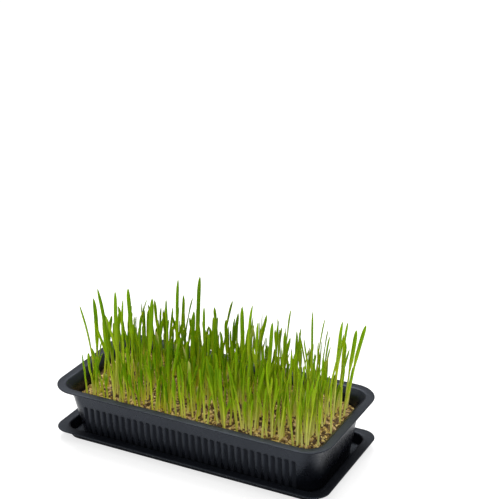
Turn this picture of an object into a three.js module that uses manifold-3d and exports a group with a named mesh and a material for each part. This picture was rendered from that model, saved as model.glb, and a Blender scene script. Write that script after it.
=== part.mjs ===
// Wheatgrass tray: a black plastic grow tray that stands in a shallow drip tray. It is filled with
// a crumbly growing medium, which carries a dense stand of young grass.
// Millimetres, +Z up, +X along the long side. The origin is on the floor, under the middle of the trays.
import * as THREE from "three";
import { mergeVertices } from "three/addons/utils/BufferGeometryUtils.js";
import Module from "manifold-3d";

// Plastic sheet and the small gap between pieces that lie close together
const SHEET = 1.0;
const GAP = 0.3;
const ARC_STEPS = 4;
const MERGE_DISTANCE = 1e-4;

// Drip tray
const DRIP_LENGTH = 209.5;
const DRIP_WIDTH = 98.2;
const DRIP_HEIGHT = 8.5;
const DRIP_CORNER = 11.5;
const DRIP_FLANGE = 5.7;
const DRIP_SHOULDER = 1.5;
const DRIP_BASE_INSET = 7.35;
const DRIP_BASE_CORNER = 9.0;
const DRIP_HEEL = 1.4;

// Grow tray
const RIM_LENGTH = 210;
const RIM_WIDTH = 103;
const RIM_HEIGHT = 41.5;
const RIM_CORNER = 18.7;
const RIM_FLANGE = 5.2;
const RIM_BEND = 2.0;
const WALL_TOP_INSET = 9.9;
const BASE_INSET = 11.3;
const BASE_CORNER = 22;
const BASE_HEEL = 2.5;
const THICK_WALL = 1.9;
const THICK_WALL_TOP = 30;

// Flutes pressed into the two long walls
const FLUTES = 33;
const FLUTE_PITCH = 5.0;
const FLUTE_WIDTH = 1.9;
const FLUTE_DEPTH = 0.9;
const FLUTE_BOTTOM = 4.8;
const FLUTE_TOP = 26.6;
const FLUTE_ROUND = 1.1;

// Drain holes in the floor of the grow tray
const DRAIN_COLUMNS = 4;
const DRAIN_ROWS = 2;
const DRAIN_PITCH_X = 44;
const DRAIN_PITCH_Y = 36;
const DRAIN_RADIUS = 2.5;
const DRAIN_SIDES = 8;

// Growing medium: its mean level, how far it rises in the middle, its crumbs and its two hollows
const MEDIUM_LEVEL = 34.4;
const MEDIUM_MOUND = 1.4;
const MEDIUM_CRUMB = 1.0;
const MEDIUM_CELL = 8.4;
const MEDIUM_SEED = 2600;
const HOLLOWS = [
  { x: -98, y: -22, depth: 6.5, reach: 20 },
  { x: 92, y: 37, depth: 5.0, reach: 14 },
];

// Seed husks that lie half sunk in the medium, between the bunches
const HUSK_LENGTH = 6.4;
const HUSK_WIDTH = 2.4;
const HUSK_TILT = 0.3;
const HUSK_SEED = 7001;

// Bunches of grass, one in each field of a loose net, and the root knots that they grow from
const BUNCH_COLUMNS = 9;
const BUNCH_ROWS = 5;
const BUNCH_PITCH_X = 19.8;
const BUNCH_PITCH_Y = 15.0;
const NET_JITTER_X = 3.0;
const NET_JITTER_Y = 2.2;
const NET_SEED = 4100;
const BUNCH_SEED = 4300;
const ROOT_INSET = 1.5;
const ROOT_DEPTH = 4.5;
const ROOT_COVER = 0.9;

// Shoots of a bunch. A share of them grows taller, those to the right a little, and those in a hollow less.
// The stand thins out to the left. Lean and bend are how far a tip stands off to one side, as shares of its
// height.
const SHOOTS = 10;
const SHOOT_SEED = 77812;
const SHOOT_TRIES = 60;
const SHOOT_MARGIN = 1.7;
const SHOOT_SUNK = 2.6;
const SHOOT_SHORTEST = 21;
const SHOOT_LONGEST = 59;
const SHOOT_TALL_SHARE = 0.02;
const SHOOT_TALL_GAIN = 1.26;
const SHOOT_RIGHT_GAIN = 0.1;
const SHOOT_THINNING = 0.42;
const SHOOT_LEAN = 0.13;
const SHOOT_BEND = 0.1;
const SHOOT_STUNTED = 0.3;
const SHOOT_CLEAR = 0.55;
const SHOOT_CROWDING = 0.62;
const STEM_REACH = 1.1;
const LEAF_REACH = 0.55;
const STEM_WIDTH = 1.7;
const LEAF_NARROWEST = 1.7;
const LEAF_WIDEST = 2.6;
const STEM_KEEL = 1.4;
const LEAF_KEEL = 0.9;
const SHEATH_TOP = 0.5;
const LEAF_BROADEST = 0.82;
const CHECK_STEP = 4;
const PLAN_MARGIN = 1.5;

// Shoots that stand out over the rest, set out one by one: their bunch, their foot in shares of its field,
// how far they tilt to one side, as a share of their height, how far their leaf turns away from it, and how
// far some of them arch to that side on the way up.
const STANDOUT_SIDE = 0.47;
const STANDOUT_LEAN = 0.6;
const STANDOUTS = [
  { column: 0, row: 0, foot: [0.8, 0.76], height: 80.5, tilt: 0.015, turn: 0.3, width: 2.6, arch: 0.26 },
  { column: 1, row: 0, foot: [0.34, 0.36], height: 80.2, tilt: 0.034, turn: 0.3, width: 2.5, arch: 0.09 },
  { column: 1, row: 0, foot: [0.34, 0.76], height: 64, tilt: 0.061, turn: 0.2, width: 2.4 },
  { column: 1, row: 0, foot: [0.91, 0.34], height: 76.1, tilt: 0.027, turn: 0.7, width: 1.9 },
  { column: 1, row: 0, foot: [0.98, 0.76], height: 82.9, tilt: 0.015, turn: 0.1, width: 2.9, arch: 0.12 },
  { column: 2, row: 0, foot: [0, 1], height: 63.1, tilt: 0.023, turn: 0.8, width: 1.9 },
  { column: 2, row: 0, foot: [0.45, 1], height: 77.6, tilt: 0.065, turn: 0, width: 3 },
  { column: 0, row: 1, foot: [0, 0], height: 63.3, tilt: -0.125, turn: 1, width: 1.7, arch: 0.1 },
  { column: 0, row: 1, foot: [0, 0.3], height: 67.4, tilt: 0, turn: 0.1, width: 2.9, arch: 0.06 },
  { column: 0, row: 1, foot: [0.86, 0], height: 56.1, tilt: 0.088, turn: 0.4, width: 2.5 },
  { column: 3, row: 1, foot: [0, 0.42], height: 75.1, tilt: -0.014, turn: 0.7, width: 2.1 },
  { column: 4, row: 1, foot: [0.94, 0.92], height: 65.8, tilt: 0.02, turn: 0.3, width: 2.4 },
  { column: 6, row: 1, foot: [0, 0.88], height: 80, tilt: 0.039, turn: 0.5, width: 2.5 },
  { column: 6, row: 1, foot: [0.35, 0.78], height: 69.5, tilt: 0.027, turn: 0.6, width: 2 },
  { column: 6, row: 1, foot: [0.94, 0.54], height: 72.6, tilt: 0.044, turn: 0.3, width: 2.6 },
  { column: 3, row: 2, foot: [0, 0.57], height: 82.8, tilt: 0.012, turn: 0.4, width: 2.3 },
  { column: 3, row: 2, foot: [0.97, 0.7], height: 87, tilt: 0.022, turn: 0.2, width: 2.7 },
  { column: 3, row: 2, foot: [1, 0], height: 63.4, tilt: 0.037, turn: 0.2, width: 2.7 },
  { column: 4, row: 2, foot: [0.18, 0.3], height: 67.3, tilt: -0.008, turn: 0.5, width: 1.9 },
  { column: 5, row: 2, foot: [1, 0.05], height: 74.4, tilt: -0.012, turn: 0.1, width: 2.9 },
  { column: 6, row: 2, foot: [0.84, 0.68], height: 66.9, tilt: 0.033, turn: 0.7, width: 2 },
  { column: 8, row: 2, foot: [0.15, 0.05], height: 84.5, tilt: -0.002, turn: 0.7, width: 2.1 },
  { column: 6, row: 3, foot: [0.98, 0.93], height: 52.7, tilt: 0.016, turn: 0.3, width: 2.4 },
  { column: 8, row: 3, foot: [0.95, 0.06], height: 72.2, tilt: 0.067, turn: 0.2, width: 2.8 },
  { column: 8, row: 4, foot: [0.69, 0.28], height: 65.1, tilt: 0.078, turn: 0.6, width: 1.9 },
  { column: 8, row: 4, foot: [0.97, 1], height: 61.3, tilt: 0.181, turn: 0.2, width: 2.8 },
  { column: 8, row: 4, foot: [1, 0.46], height: 59.6, tilt: 0.104, turn: 0.1, width: 2.9 },
];

// Steps of an even scatter over a rectangle
const SCATTER_X = 0.7548776662466927;
const SCATTER_Y = 0.5698402909980532;

const wasm = await Module();
wasm.setup();

// Seeded draws between 0 and 1, the same on every run.
function draws(seed) {
  let state = seed >>> 0;
  return () => {
    state = (state + 0x6d2b79f5) >>> 0;
    let mixed = Math.imul(state ^ (state >>> 15), 1 | state);
    mixed = (mixed + Math.imul(mixed ^ (mixed >>> 7), 61 | mixed)) ^ mixed;
    return ((mixed ^ (mixed >>> 14)) >>> 0) / 4294967296;
  };
}

// Plastic, medium and grass finishes, a fresh one for each mesh.
const blackPlastic = () =>
  new THREE.MeshStandardMaterial({ color: 0x1d1e22, roughness: 0.42, metalness: 0 });
const tanMedium = () =>
  new THREE.MeshStandardMaterial({ color: 0x8c6a3a, roughness: 0.95, metalness: 0 });
const freshGrass = () =>
  new THREE.MeshStandardMaterial({ color: 0x7ea526, roughness: 0.6, metalness: 0 });

// A closed geometry as a solid that can be joined and cut.
function solidOf(geometry) {
  geometry.deleteAttribute("normal");
  geometry.deleteAttribute("uv");
  const merged = mergeVertices(geometry, MERGE_DISTANCE);
  return new wasm.Manifold(
    new wasm.Mesh({
      numProp: 3,
      vertProperties: merged.attributes.position.array,
      triVerts: new Uint32Array(merged.index.array),
    }),
  );
}

// A geometry from corner points and the triangles between them.
function geometryOf(points, triangles) {
  const geometry = new THREE.BufferGeometry();
  geometry.setAttribute("position", new THREE.Float32BufferAttribute(points, 3));
  geometry.setIndex(triangles);
  return geometry;
}

// The main body of a cut solid, without loose crumbs.
function largestBody(solid) {
  const bodies = solid.decompose();
  bodies.sort((a, b) => b.volume() - a.volume());
  return bodies[0];
}

// A named mesh of a finished solid.
function meshOf(name, solid, material) {
  const made = solid.getMesh();
  const geometry = geometryOf(Array.from(made.vertProperties), Array.from(made.triVerts));
  geometry.computeVertexNormals();
  const mesh = new THREE.Mesh(geometry, material);
  mesh.name = name;
  return mesh;
}

// A rectangle with round corners, centred on the origin.
function roundedRectangle(length, width, corner) {
  const x = length / 2 - corner;
  const y = width / 2 - corner;
  const shape = new THREE.Shape();
  shape.absarc(x, y, corner, 0, Math.PI / 2);
  shape.absarc(-x, y, corner, Math.PI / 2, Math.PI);
  shape.absarc(-x, -y, corner, Math.PI, 1.5 * Math.PI);
  shape.absarc(x, -y, corner, 1.5 * Math.PI, 2 * Math.PI);
  return shape;
}

// Rounded rectangles at several heights, joined into one skin. A closed one runs from the last back to
// the first, as the wall of a tray does, and an open one gets a flat bottom and top.
function loft(length, width, rings, closed) {
  const outlines = rings.map(({ inset, z, corner }) =>
    roundedRectangle(length - 2 * inset, width - 2 * inset, corner)
      .getPoints(ARC_STEPS)
      .map((p) => [p.x, p.y, z]),
  );
  const count = outlines[0].length;
  const triangles = [];
  const bands = closed ? rings.length : rings.length - 1;
  for (let k = 0; k < bands; k++) {
    const low = k * count;
    const high = ((k + 1) % rings.length) * count;
    for (let i = 0; i < count; i++) {
      const next = (i + 1) % count;
      triangles.push(low + i, low + next, high + next, low + i, high + next, high + i);
    }
  }
  if (!closed) {
    const top = (rings.length - 1) * count;
    for (let i = 1; i + 1 < count; i++) {
      triangles.push(0, i + 1, i, top, top + i, top + i + 1);
    }
  }
  return geometryOf(outlines.flat(2), triangles);
}

// Points of an arc in the plane of a tray's wall, as insets and heights.
function wallArc(inset, z, radius, fromDegrees, toDegrees, steps) {
  return Array.from({ length: steps + 1 }, (_, i) => {
    const angle = THREE.MathUtils.degToRad(fromDegrees + ((toDegrees - fromDegrees) * i) / steps);
    return { inset: inset - radius * Math.cos(angle), z: z + radius * Math.sin(angle) };
  });
}

// A flat floor with round corners that joins the foot of a tray's wall.
function floorPlate(length, width, inset, corner, z) {
  const outline = roundedRectangle(length - 2 * inset, width - 2 * inset, corner);
  const plate = new THREE.ExtrudeGeometry(outline, {
    depth: SHEET,
    bevelEnabled: false,
    curveSegments: ARC_STEPS,
  });
  return solidOf(plate.translate(0, 0, z));
}

function dripTray() {
  const shoulderZ = DRIP_HEIGHT - DRIP_SHOULDER;
  const outerHeel = wallArc(DRIP_BASE_INSET + DRIP_HEEL, DRIP_HEEL, DRIP_HEEL, -90, 0, 2);
  const underFlange = { inset: DRIP_FLANGE + DRIP_SHOULDER - SHEET, z: DRIP_HEIGHT - SHEET };
  const topShoulder = wallArc(DRIP_FLANGE, shoulderZ, -DRIP_SHOULDER, -90, 0, 2);
  const innerFoot = DRIP_BASE_INSET + SHEET;
  const points = [
    ...outerHeel,
    underFlange,
    { inset: 0, z: DRIP_HEIGHT - SHEET },
    { inset: 0, z: DRIP_HEIGHT },
    ...topShoulder,
    { inset: innerFoot, z: SHEET + GAP },
    { inset: innerFoot + GAP, z: SHEET },
    { inset: innerFoot + DRIP_HEEL, z: SHEET },
    { inset: innerFoot + DRIP_HEEL, z: 0 },
  ];
  const cornerAt = (inset) =>
    THREE.MathUtils.mapLinear(inset, 0, DRIP_BASE_INSET, DRIP_CORNER, DRIP_BASE_CORNER);
  const rings = points.map((p) => ({ ...p, corner: cornerAt(p.inset) }));
  const wall = solidOf(loft(DRIP_LENGTH, DRIP_WIDTH, rings, true));
  const plateInset = innerFoot + DRIP_HEEL / 2;
  return wall.add(floorPlate(DRIP_LENGTH, DRIP_WIDTH, plateInset, cornerAt(plateInset), 0));
}

// One face of the grow tray's shoulder: a bend inside the flange, and a slope of 45 degrees to the wall.
function shoulder(radius, wallInset) {
  const bend = wallArc(RIM_FLANGE, RIM_HEIGHT - RIM_BEND, -radius, -90, -45, 2);
  const { inset, z } = bend.at(-1);
  return [...bend, { inset: wallInset, z: z - (wallInset - inset) }];
}

// Insets of the grow tray's wall at a height: its outer face, and its inner face under the shoulder.
const underShoulder = shoulder(RIM_BEND - SHEET, WALL_TOP_INSET);
const overShoulder = shoulder(RIM_BEND, WALL_TOP_INSET + SHEET);
const WALL_TOP = underShoulder.at(-1).z;
const WALL_FOOT = SHEET + BASE_HEEL;
const FLOOR_TOP = 2 * SHEET;
const outerInset = (z) =>
  THREE.MathUtils.mapLinear(z, WALL_FOOT, WALL_TOP, BASE_INSET, WALL_TOP_INSET);
const innerWall = [
  overShoulder.at(-1),
  { inset: outerInset(THICK_WALL_TOP) + THICK_WALL, z: THICK_WALL_TOP },
  { inset: BASE_INSET + THICK_WALL, z: FLOOR_TOP + BASE_HEEL },
  { inset: BASE_INSET + THICK_WALL + BASE_HEEL, z: FLOOR_TOP },
];

// Round corners of the grow tray: those of one height share a centre, and they grow wider down the wall.
function cornered(points) {
  return points.map((p) => {
    const down = THREE.MathUtils.clamp((WALL_TOP - p.z) / (WALL_TOP - WALL_FOOT), 0, 1);
    const centre = THREE.MathUtils.lerp(RIM_CORNER, BASE_INSET + BASE_CORNER, down);
    return { ...p, corner: centre - p.inset };
  });
}

function growTrayShell() {
  const footInset = BASE_INSET + THICK_WALL + BASE_HEEL;
  const points = [
    ...wallArc(BASE_INSET + BASE_HEEL, WALL_FOOT, BASE_HEEL, -90, 0, 2),
    { inset: outerInset(THICK_WALL_TOP), z: THICK_WALL_TOP },
    ...[...underShoulder].reverse(),
    { inset: 0, z: RIM_HEIGHT - SHEET },
    { inset: 0, z: RIM_HEIGHT },
    ...overShoulder,
    ...innerWall.slice(1),
    { inset: footInset, z: SHEET },
  ];
  const wall = solidOf(loft(RIM_LENGTH, RIM_WIDTH, cornered(points), true));
  const plateInset = BASE_INSET + BASE_HEEL + THICK_WALL / 2;
  const plateCorner = BASE_INSET + BASE_CORNER - plateInset;
  return wall.add(floorPlate(RIM_LENGTH, RIM_WIDTH, plateInset, plateCorner, SHEET));
}

// One upright flute with a narrowed top, laid into the slope of a long wall.
function fluteCutter(x, side) {
  const half = FLUTE_WIDTH / 2;
  const rise = FLUTE_TOP - FLUTE_BOTTOM;
  const outline = new THREE.Shape([
    new THREE.Vector2(-half, 0),
    new THREE.Vector2(half, 0),
    new THREE.Vector2(half, rise - FLUTE_ROUND),
    new THREE.Vector2(half / 2, rise),
    new THREE.Vector2(-half / 2, rise),
    new THREE.Vector2(-half, rise - FLUTE_ROUND),
  ]);
  const cutter = new THREE.ExtrudeGeometry(outline, { depth: 2 * FLUTE_DEPTH, bevelEnabled: false });
  const inward = outerInset(FLUTE_BOTTOM) - outerInset(FLUTE_TOP);
  cutter.translate(0, 0, -FLUTE_DEPTH);
  cutter.rotateX(Math.PI / 2 + Math.atan2(inward, rise));
  cutter.translate(x, outerInset(FLUTE_BOTTOM) - RIM_WIDTH / 2, FLUTE_BOTTOM);
  if (side > 0) {
    cutter.rotateZ(Math.PI);
  }
  return solidOf(cutter);
}

function growTray() {
  let tray = growTrayShell();
  const cutters = [];
  for (let i = 0; i < FLUTES; i++) {
    const x = (i - (FLUTES - 1) / 2) * FLUTE_PITCH;
    cutters.push(fluteCutter(x, -1), fluteCutter(x, 1));
  }
  for (let i = 0; i < DRAIN_COLUMNS; i++) {
    for (let j = 0; j < DRAIN_ROWS; j++) {
      const drain = new THREE.CylinderGeometry(DRAIN_RADIUS, DRAIN_RADIUS, 3 * SHEET, DRAIN_SIDES);
      drain.rotateX(Math.PI / 2);
      const x = (i - (DRAIN_COLUMNS - 1) / 2) * DRAIN_PITCH_X;
      const y = (j - (DRAIN_ROWS - 1) / 2) * DRAIN_PITCH_Y;
      cutters.push(solidOf(drain.translate(x, y, 1.5 * SHEET)));
    }
  }
  for (const cutter of cutters) {
    tray = tray.subtract(cutter);
  }
  return tray;
}

// How much of a hollow is felt at a place, from 0 to 1.
const hollowAt = (hollow, x, y) =>
  Math.exp(-((x - hollow.x) ** 2 + (y - hollow.y) ** 2) / hollow.reach ** 2);

// Smooth height of the medium at a place: a low mound with two hollows.
function mediumHeight(x, y) {
  const across = ((2 * x) / RIM_LENGTH) ** 2 + ((2 * y) / RIM_WIDTH) ** 2;
  let z = MEDIUM_LEVEL + MEDIUM_MOUND * (1 - across);
  for (const hollow of HOLLOWS) {
    z -= hollow.depth * hollowAt(hollow, x, y);
  }
  return z;
}

// A knot of the net. Those on its edge stay in line with the walls.
function netKnot(i, j) {
  const draw = draws(NET_SEED + j * (BUNCH_COLUMNS + 1) + i);
  const freeX = i > 0 && i < BUNCH_COLUMNS ? NET_JITTER_X : 0;
  const freeY = j > 0 && j < BUNCH_ROWS ? NET_JITTER_Y : 0;
  return new THREE.Vector2(
    (i - BUNCH_COLUMNS / 2) * BUNCH_PITCH_X + (2 * draw() - 1) * freeX,
    (j - BUNCH_ROWS / 2) * BUNCH_PITCH_Y + (2 * draw() - 1) * freeY,
  );
}

// Corners of a field of the net, drawn in from its edges, anticlockwise from the lowest.
function fieldCorners(place, inset) {
  const steps = [
    [0, 0],
    [1, 0],
    [1, 1],
    [0, 1],
  ];
  return steps.map(([stepX, stepY]) => {
    const inward = new THREE.Vector2(1 - 2 * stepX, 1 - 2 * stepY);
    return netKnot(place.column + stepX, place.row + stepY).addScaledVector(inward, inset);
  });
}

// Places of the bunches: the field, its height and how well it grows there.
function bunchPlaces() {
  const places = [];
  for (let row = 0; row < BUNCH_ROWS; row++) {
    for (let column = 0; column < BUNCH_COLUMNS; column++) {
      const draw = draws(BUNCH_SEED + row * BUNCH_COLUMNS + column);
      const x = (column + 0.5 - BUNCH_COLUMNS / 2) * BUNCH_PITCH_X;
      const y = (row + 0.5 - BUNCH_ROWS / 2) * BUNCH_PITCH_Y;
      const sparse = Math.max(...HOLLOWS.map((hollow) => hollowAt(hollow, x, y)));
      const z = mediumHeight(x, y);
      places.push({ column, row, x, z, vigour: 1 - sparse, startX: draw(), startY: draw() });
    }
  }
  return places;
}

// A root knot, or with a margin the plain pocket that it sits in.
function rootKnot(place, margin, top) {
  const bottom = place.z - ROOT_COVER - ROOT_DEPTH - margin;
  const outline = new THREE.Shape(fieldCorners(place, ROOT_INSET - margin));
  const knot = new THREE.ExtrudeGeometry(outline, { depth: top - bottom, bevelEnabled: false });
  return solidOf(knot.translate(0, 0, bottom));
}

// Points along a shoot: straight up at first, leaning one way, and bending further near its tip.
function shootAxis(shoot, rise) {
  const share = Math.max(rise, 0) / shoot.height;
  const away = shoot.lean * rise + shoot.bend * shoot.height * share * share;
  return {
    x: shoot.x + away * Math.cos(shoot.towards),
    y: shoot.y + away * Math.sin(shoot.towards),
    z: shoot.z + rise,
  };
}

// Half the room that a shoot takes up at a height.
function shootReach(shoot, rise) {
  return rise < SHEATH_TOP * shoot.height ? STEM_REACH : LEAF_REACH * shoot.width;
}

// Two shoots stay clear of each other at every height that they share. Within a bunch they stand closer.
function standClear(a, b) {
  const crowding = a.bunch === b.bunch ? SHOOT_CROWDING : 1;
  const top = Math.min(a.z + a.height, b.z + b.height);
  for (let z = Math.max(a.z, b.z); z < top; z += CHECK_STEP) {
    const p = shootAxis(a, z - a.z);
    const q = shootAxis(b, z - b.z);
    const room = shootReach(a, z - a.z) + shootReach(b, z - b.z) + SHOOT_CLEAR;
    if (Math.hypot(p.x - q.x, p.y - q.y) < crowding * room) {
      return false;
    }
  }
  return true;
}

// A place on a root knot, by its shares of the field's two sides.
function footOn(place, shareX, shareY) {
  const [nearLeft, nearRight, farRight, farLeft] = fieldCorners(place, ROOT_INSET + SHOOT_MARGIN);
  return nearLeft.lerp(nearRight, shareX).lerp(farLeft.lerp(farRight, shareX), shareY);
}

// The shoots of a bunch that are set out one by one.
function standoutsOf(place) {
  const own = STANDOUTS.filter(({ column, row }) => column === place.column && row === place.row);
  return own.map(({ foot, height, tilt, turn, width, arch = 0 }) => {
    const { x, y } = footOn(place, ...foot);
    return {
      bunch: place,
      x,
      y,
      z: place.z,
      height,
      lean: STANDOUT_LEAN * tilt + arch,
      bend: (1 - STANDOUT_LEAN) * tilt - arch,
      towards: STANDOUT_SIDE,
      face: STANDOUT_SIDE + turn,
      width,
    };
  });
}

// One drawn shoot of a bunch, at its own place on the root knot.
function drawShoot(place, index, seed) {
  const draw = draws(seed);
  const shareX = (place.startX + index * SCATTER_X) % 1;
  const shareY = (place.startY + index * SCATTER_Y) % 1;
  const foot = footOn(place, shareX, shareY);
  const tall = draw() < SHOOT_TALL_SHARE ? SHOOT_TALL_GAIN : 1;
  const rightGain = 1 + (SHOOT_RIGHT_GAIN * 2 * place.x) / RIM_LENGTH;
  const plain = THREE.MathUtils.lerp(SHOOT_SHORTEST, SHOOT_LONGEST, draw());
  return {
    bunch: place,
    x: foot.x,
    y: foot.y,
    z: place.z,
    height: plain * tall * rightGain * THREE.MathUtils.lerp(SHOOT_STUNTED, 1, place.vigour),
    lean: SHOOT_LEAN * draw(),
    bend: SHOOT_BEND * draw(),
    towards: 2 * Math.PI * draw(),
    face: Math.PI * draw(),
    width: THREE.MathUtils.lerp(LEAF_NARROWEST, LEAF_WIDEST, draw()),
  };
}

// Whether the tip stays over the trays.
function overTrays(shoot) {
  const tip = shootAxis(shoot, shoot.height);
  const insideLength = Math.abs(tip.x) < RIM_LENGTH / 2 - PLAN_MARGIN;
  return insideLength && Math.abs(tip.y) < RIM_WIDTH / 2 - PLAN_MARGIN;
}

// The shoots of every bunch, thinner on the left. A drawn shoot that would touch another one is drawn again,
// or left out.
function growShoots(places) {
  const bunches = places.map(standoutsOf);
  places.forEach((place, k) => {
    const own = bunches[k];
    const thickness = 1 - SHOOT_THINNING * (0.5 - place.x / RIM_LENGTH);
    const wanted = Math.round(SHOOTS * place.vigour * thickness);
    for (let n = own.length; n < wanted; n++) {
      for (let t = 0; t < SHOOT_TRIES; t++) {
        const seed = SHOOT_SEED + (k * SHOOTS + n) * SHOOT_TRIES + t;
        const shoot = drawShoot(place, n, seed);
        if (overTrays(shoot) && bunches.flat().every((other) => standClear(shoot, other))) {
          own.push(shoot);
          break;
        }
      }
    }
  });
  return bunches;
}

// A shoot as a keeled blade: a round stem that widens into a pointed leaf.
function shootSolid(shoot) {
  const rings = [
    { rise: -SHOOT_SUNK - ROOT_COVER, width: STEM_WIDTH, keel: STEM_KEEL },
    { rise: SHEATH_TOP * shoot.height, width: STEM_WIDTH, keel: STEM_KEEL },
    { rise: LEAF_BROADEST * shoot.height, width: shoot.width, keel: LEAF_KEEL },
  ];
  const sideX = Math.cos(shoot.face);
  const sideY = Math.sin(shoot.face);
  const points = [];
  for (const { rise, width, keel } of rings) {
    const p = shootAxis(shoot, rise);
    points.push(p.x - (sideX * width) / 2, p.y - (sideY * width) / 2, p.z);
    points.push(p.x + (sideX * width) / 2, p.y + (sideY * width) / 2, p.z);
    points.push(p.x - sideY * keel, p.y + sideX * keel, p.z);
  }
  const tip = shootAxis(shoot, shoot.height);
  points.push(tip.x, tip.y, tip.z);
  const triangles = [0, 2, 1];
  for (let k = 0; k + 1 < rings.length; k++) {
    for (let i = 0; i < 3; i++) {
      const low = 3 * k;
      const next = (i + 1) % 3;
      triangles.push(low + i, low + next, low + 3 + next, low + i, low + 3 + next, low + 3 + i);
    }
  }
  const last = 3 * (rings.length - 1);
  for (let i = 0; i < 3; i++) {
    triangles.push(last + i, last + ((i + 1) % 3), last + 3);
  }
  return solidOf(geometryOf(points, triangles));
}

// A bunch: its shoots fused with the root knot that they grow from.
function grassBunch(place, shoots) {
  let bunch = rootKnot(place, 0, place.z - ROOT_COVER);
  for (const shoot of shoots) {
    bunch = bunch.add(shootSolid(shoot));
  }
  return bunch;
}

// The medium: the inside of the grow tray, cut off by a crumbly top, with a pocket for each root knot.
function growingMedium(places) {
  const filling = [...innerWall].reverse().map((p) => ({ ...p, inset: p.inset + GAP }));
  filling[0].inset += GAP;
  filling.push({ inset: filling.at(-1).inset, z: RIM_HEIGHT });
  const inside = solidOf(loft(RIM_LENGTH, RIM_WIDTH, cornered(filling), false));
  const columns = Math.round(RIM_LENGTH / MEDIUM_CELL);
  const rows = Math.round(RIM_WIDTH / MEDIUM_CELL);
  const block = new THREE.BoxGeometry(RIM_LENGTH, RIM_WIDTH, 2 * RIM_HEIGHT, columns, rows, 1);
  const position = block.attributes.position;
  for (let i = 0; i < position.count; i++) {
    if (position.getZ(i) > 0) {
      const x = position.getX(i);
      const y = position.getY(i);
      const column = Math.round((x / RIM_LENGTH + 0.5) * columns);
      const row = Math.round((y / RIM_WIDTH + 0.5) * rows);
      const draw = draws(MEDIUM_SEED + row * (columns + 1) + column);
      position.setZ(i, mediumHeight(x, y) + (2 * draw() - 1) * MEDIUM_CRUMB);
    }
  }
  let medium = inside.intersect(solidOf(block));
  for (const husk of seedHusks()) {
    medium = medium.add(husk);
  }
  for (const place of places) {
    medium = medium.subtract(rootKnot(place, GAP, RIM_HEIGHT));
  }
  return largestBody(medium);
}

// Husks in the gaps where four bunches meet.
function seedHusks() {
  const husks = [];
  for (let j = 0; j + 1 < BUNCH_ROWS; j++) {
    for (let i = 0; i + 1 < BUNCH_COLUMNS; i++) {
      const draw = draws(HUSK_SEED + j * BUNCH_COLUMNS + i);
      const { x, y } = netKnot(i + 1, j + 1);
      const husk = new THREE.OctahedronGeometry(1);
      husk.scale(HUSK_LENGTH / 2, HUSK_WIDTH / 2, HUSK_WIDTH / 2);
      husk.rotateX(draw() * Math.PI);
      husk.rotateY((2 * draw() - 1) * HUSK_TILT);
      husk.rotateZ(draw() * Math.PI);
      husks.push(solidOf(husk.translate(x, y, mediumHeight(x, y))));
    }
  }
  return husks;
}

const tray = new THREE.Group();
tray.name = "wheatgrass_tray";
tray.add(meshOf("drip_tray", dripTray(), blackPlastic()));
tray.add(meshOf("grow_tray", growTray(), blackPlastic()));
const places = bunchPlaces();
tray.add(meshOf("growing_medium", growingMedium(places), tanMedium()));
growShoots(places).forEach((shoots, k) => {
  if (shoots.length > 0) {
    const name = "grass_bunch_" + String(k + 1).padStart(2, "0");
    tray.add(meshOf(name, grassBunch(places[k], shoots), freshGrass()));
  }
});

export default tray;
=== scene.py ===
"""Wheatgrass tray: the looks of a drip tray, a grow tray, its growing medium and a stand of young grass.

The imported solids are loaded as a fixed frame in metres. Shapes are worked out in millimetres and scaled
once, when a mesh is made.
"""
import math

import bmesh
import bpy
from bpy.props import FloatProperty
from bpy.props import FloatVectorProperty
from bpy.props import IntProperty
from bpy.props import PointerProperty
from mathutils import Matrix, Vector
from mathutils import noise


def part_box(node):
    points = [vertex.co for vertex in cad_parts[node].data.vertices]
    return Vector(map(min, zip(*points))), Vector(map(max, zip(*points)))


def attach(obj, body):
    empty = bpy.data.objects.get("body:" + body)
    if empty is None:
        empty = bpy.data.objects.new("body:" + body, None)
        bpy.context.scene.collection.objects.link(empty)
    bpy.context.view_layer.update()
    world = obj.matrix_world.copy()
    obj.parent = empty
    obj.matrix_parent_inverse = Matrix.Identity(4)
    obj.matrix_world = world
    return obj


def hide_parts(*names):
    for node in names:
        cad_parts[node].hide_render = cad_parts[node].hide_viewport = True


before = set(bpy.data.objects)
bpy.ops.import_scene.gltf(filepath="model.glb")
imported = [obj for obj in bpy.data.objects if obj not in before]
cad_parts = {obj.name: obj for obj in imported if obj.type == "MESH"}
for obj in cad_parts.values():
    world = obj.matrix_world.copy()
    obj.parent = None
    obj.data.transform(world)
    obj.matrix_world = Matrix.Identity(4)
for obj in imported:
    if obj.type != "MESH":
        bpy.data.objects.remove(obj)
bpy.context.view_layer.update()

bl_info = {
    "name": "Wheatgrass Tray",
    "version": (1, 0, 0),
    "blender": (4, 5, 0),
    "location": "View3D > Sidebar > Wheatgrass",
    "description": "Builds a tray of young wheatgrass on its packed solids",
    "category": "Object",
}

MM = 0.001
DRIP_LOW, DRIP_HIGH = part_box("drip_tray")
RIM_LOW, RIM_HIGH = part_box("grow_tray")
BODY = "root"

# Sections of the trays, in millimetres, as in the solids' source
DRIP_CORNER = 11.5
DRIP_FLANGE = 5.7
DRIP_SHOULDER = 1.5
DRIP_BASE_INSET = 7.35
DRIP_BASE_CORNER = 9.0
DRIP_HEEL = 1.4
RIM_CORNER = 18.7
RIM_FLANGE = 5.2
RIM_BEND = 2.0
WALL_TOP_INSET = 9.9
BASE_INSET = 11.3
BASE_CORNER = 22.0
BASE_HEEL = 2.5
DRAIN_COLUMNS = 4
DRAIN_ROWS = 2
DRAIN_PITCH_X = 44.0
DRAIN_PITCH_Y = 36.0
DRAIN_RADIUS = 2.5
DRAIN_SIDES = 24

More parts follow.
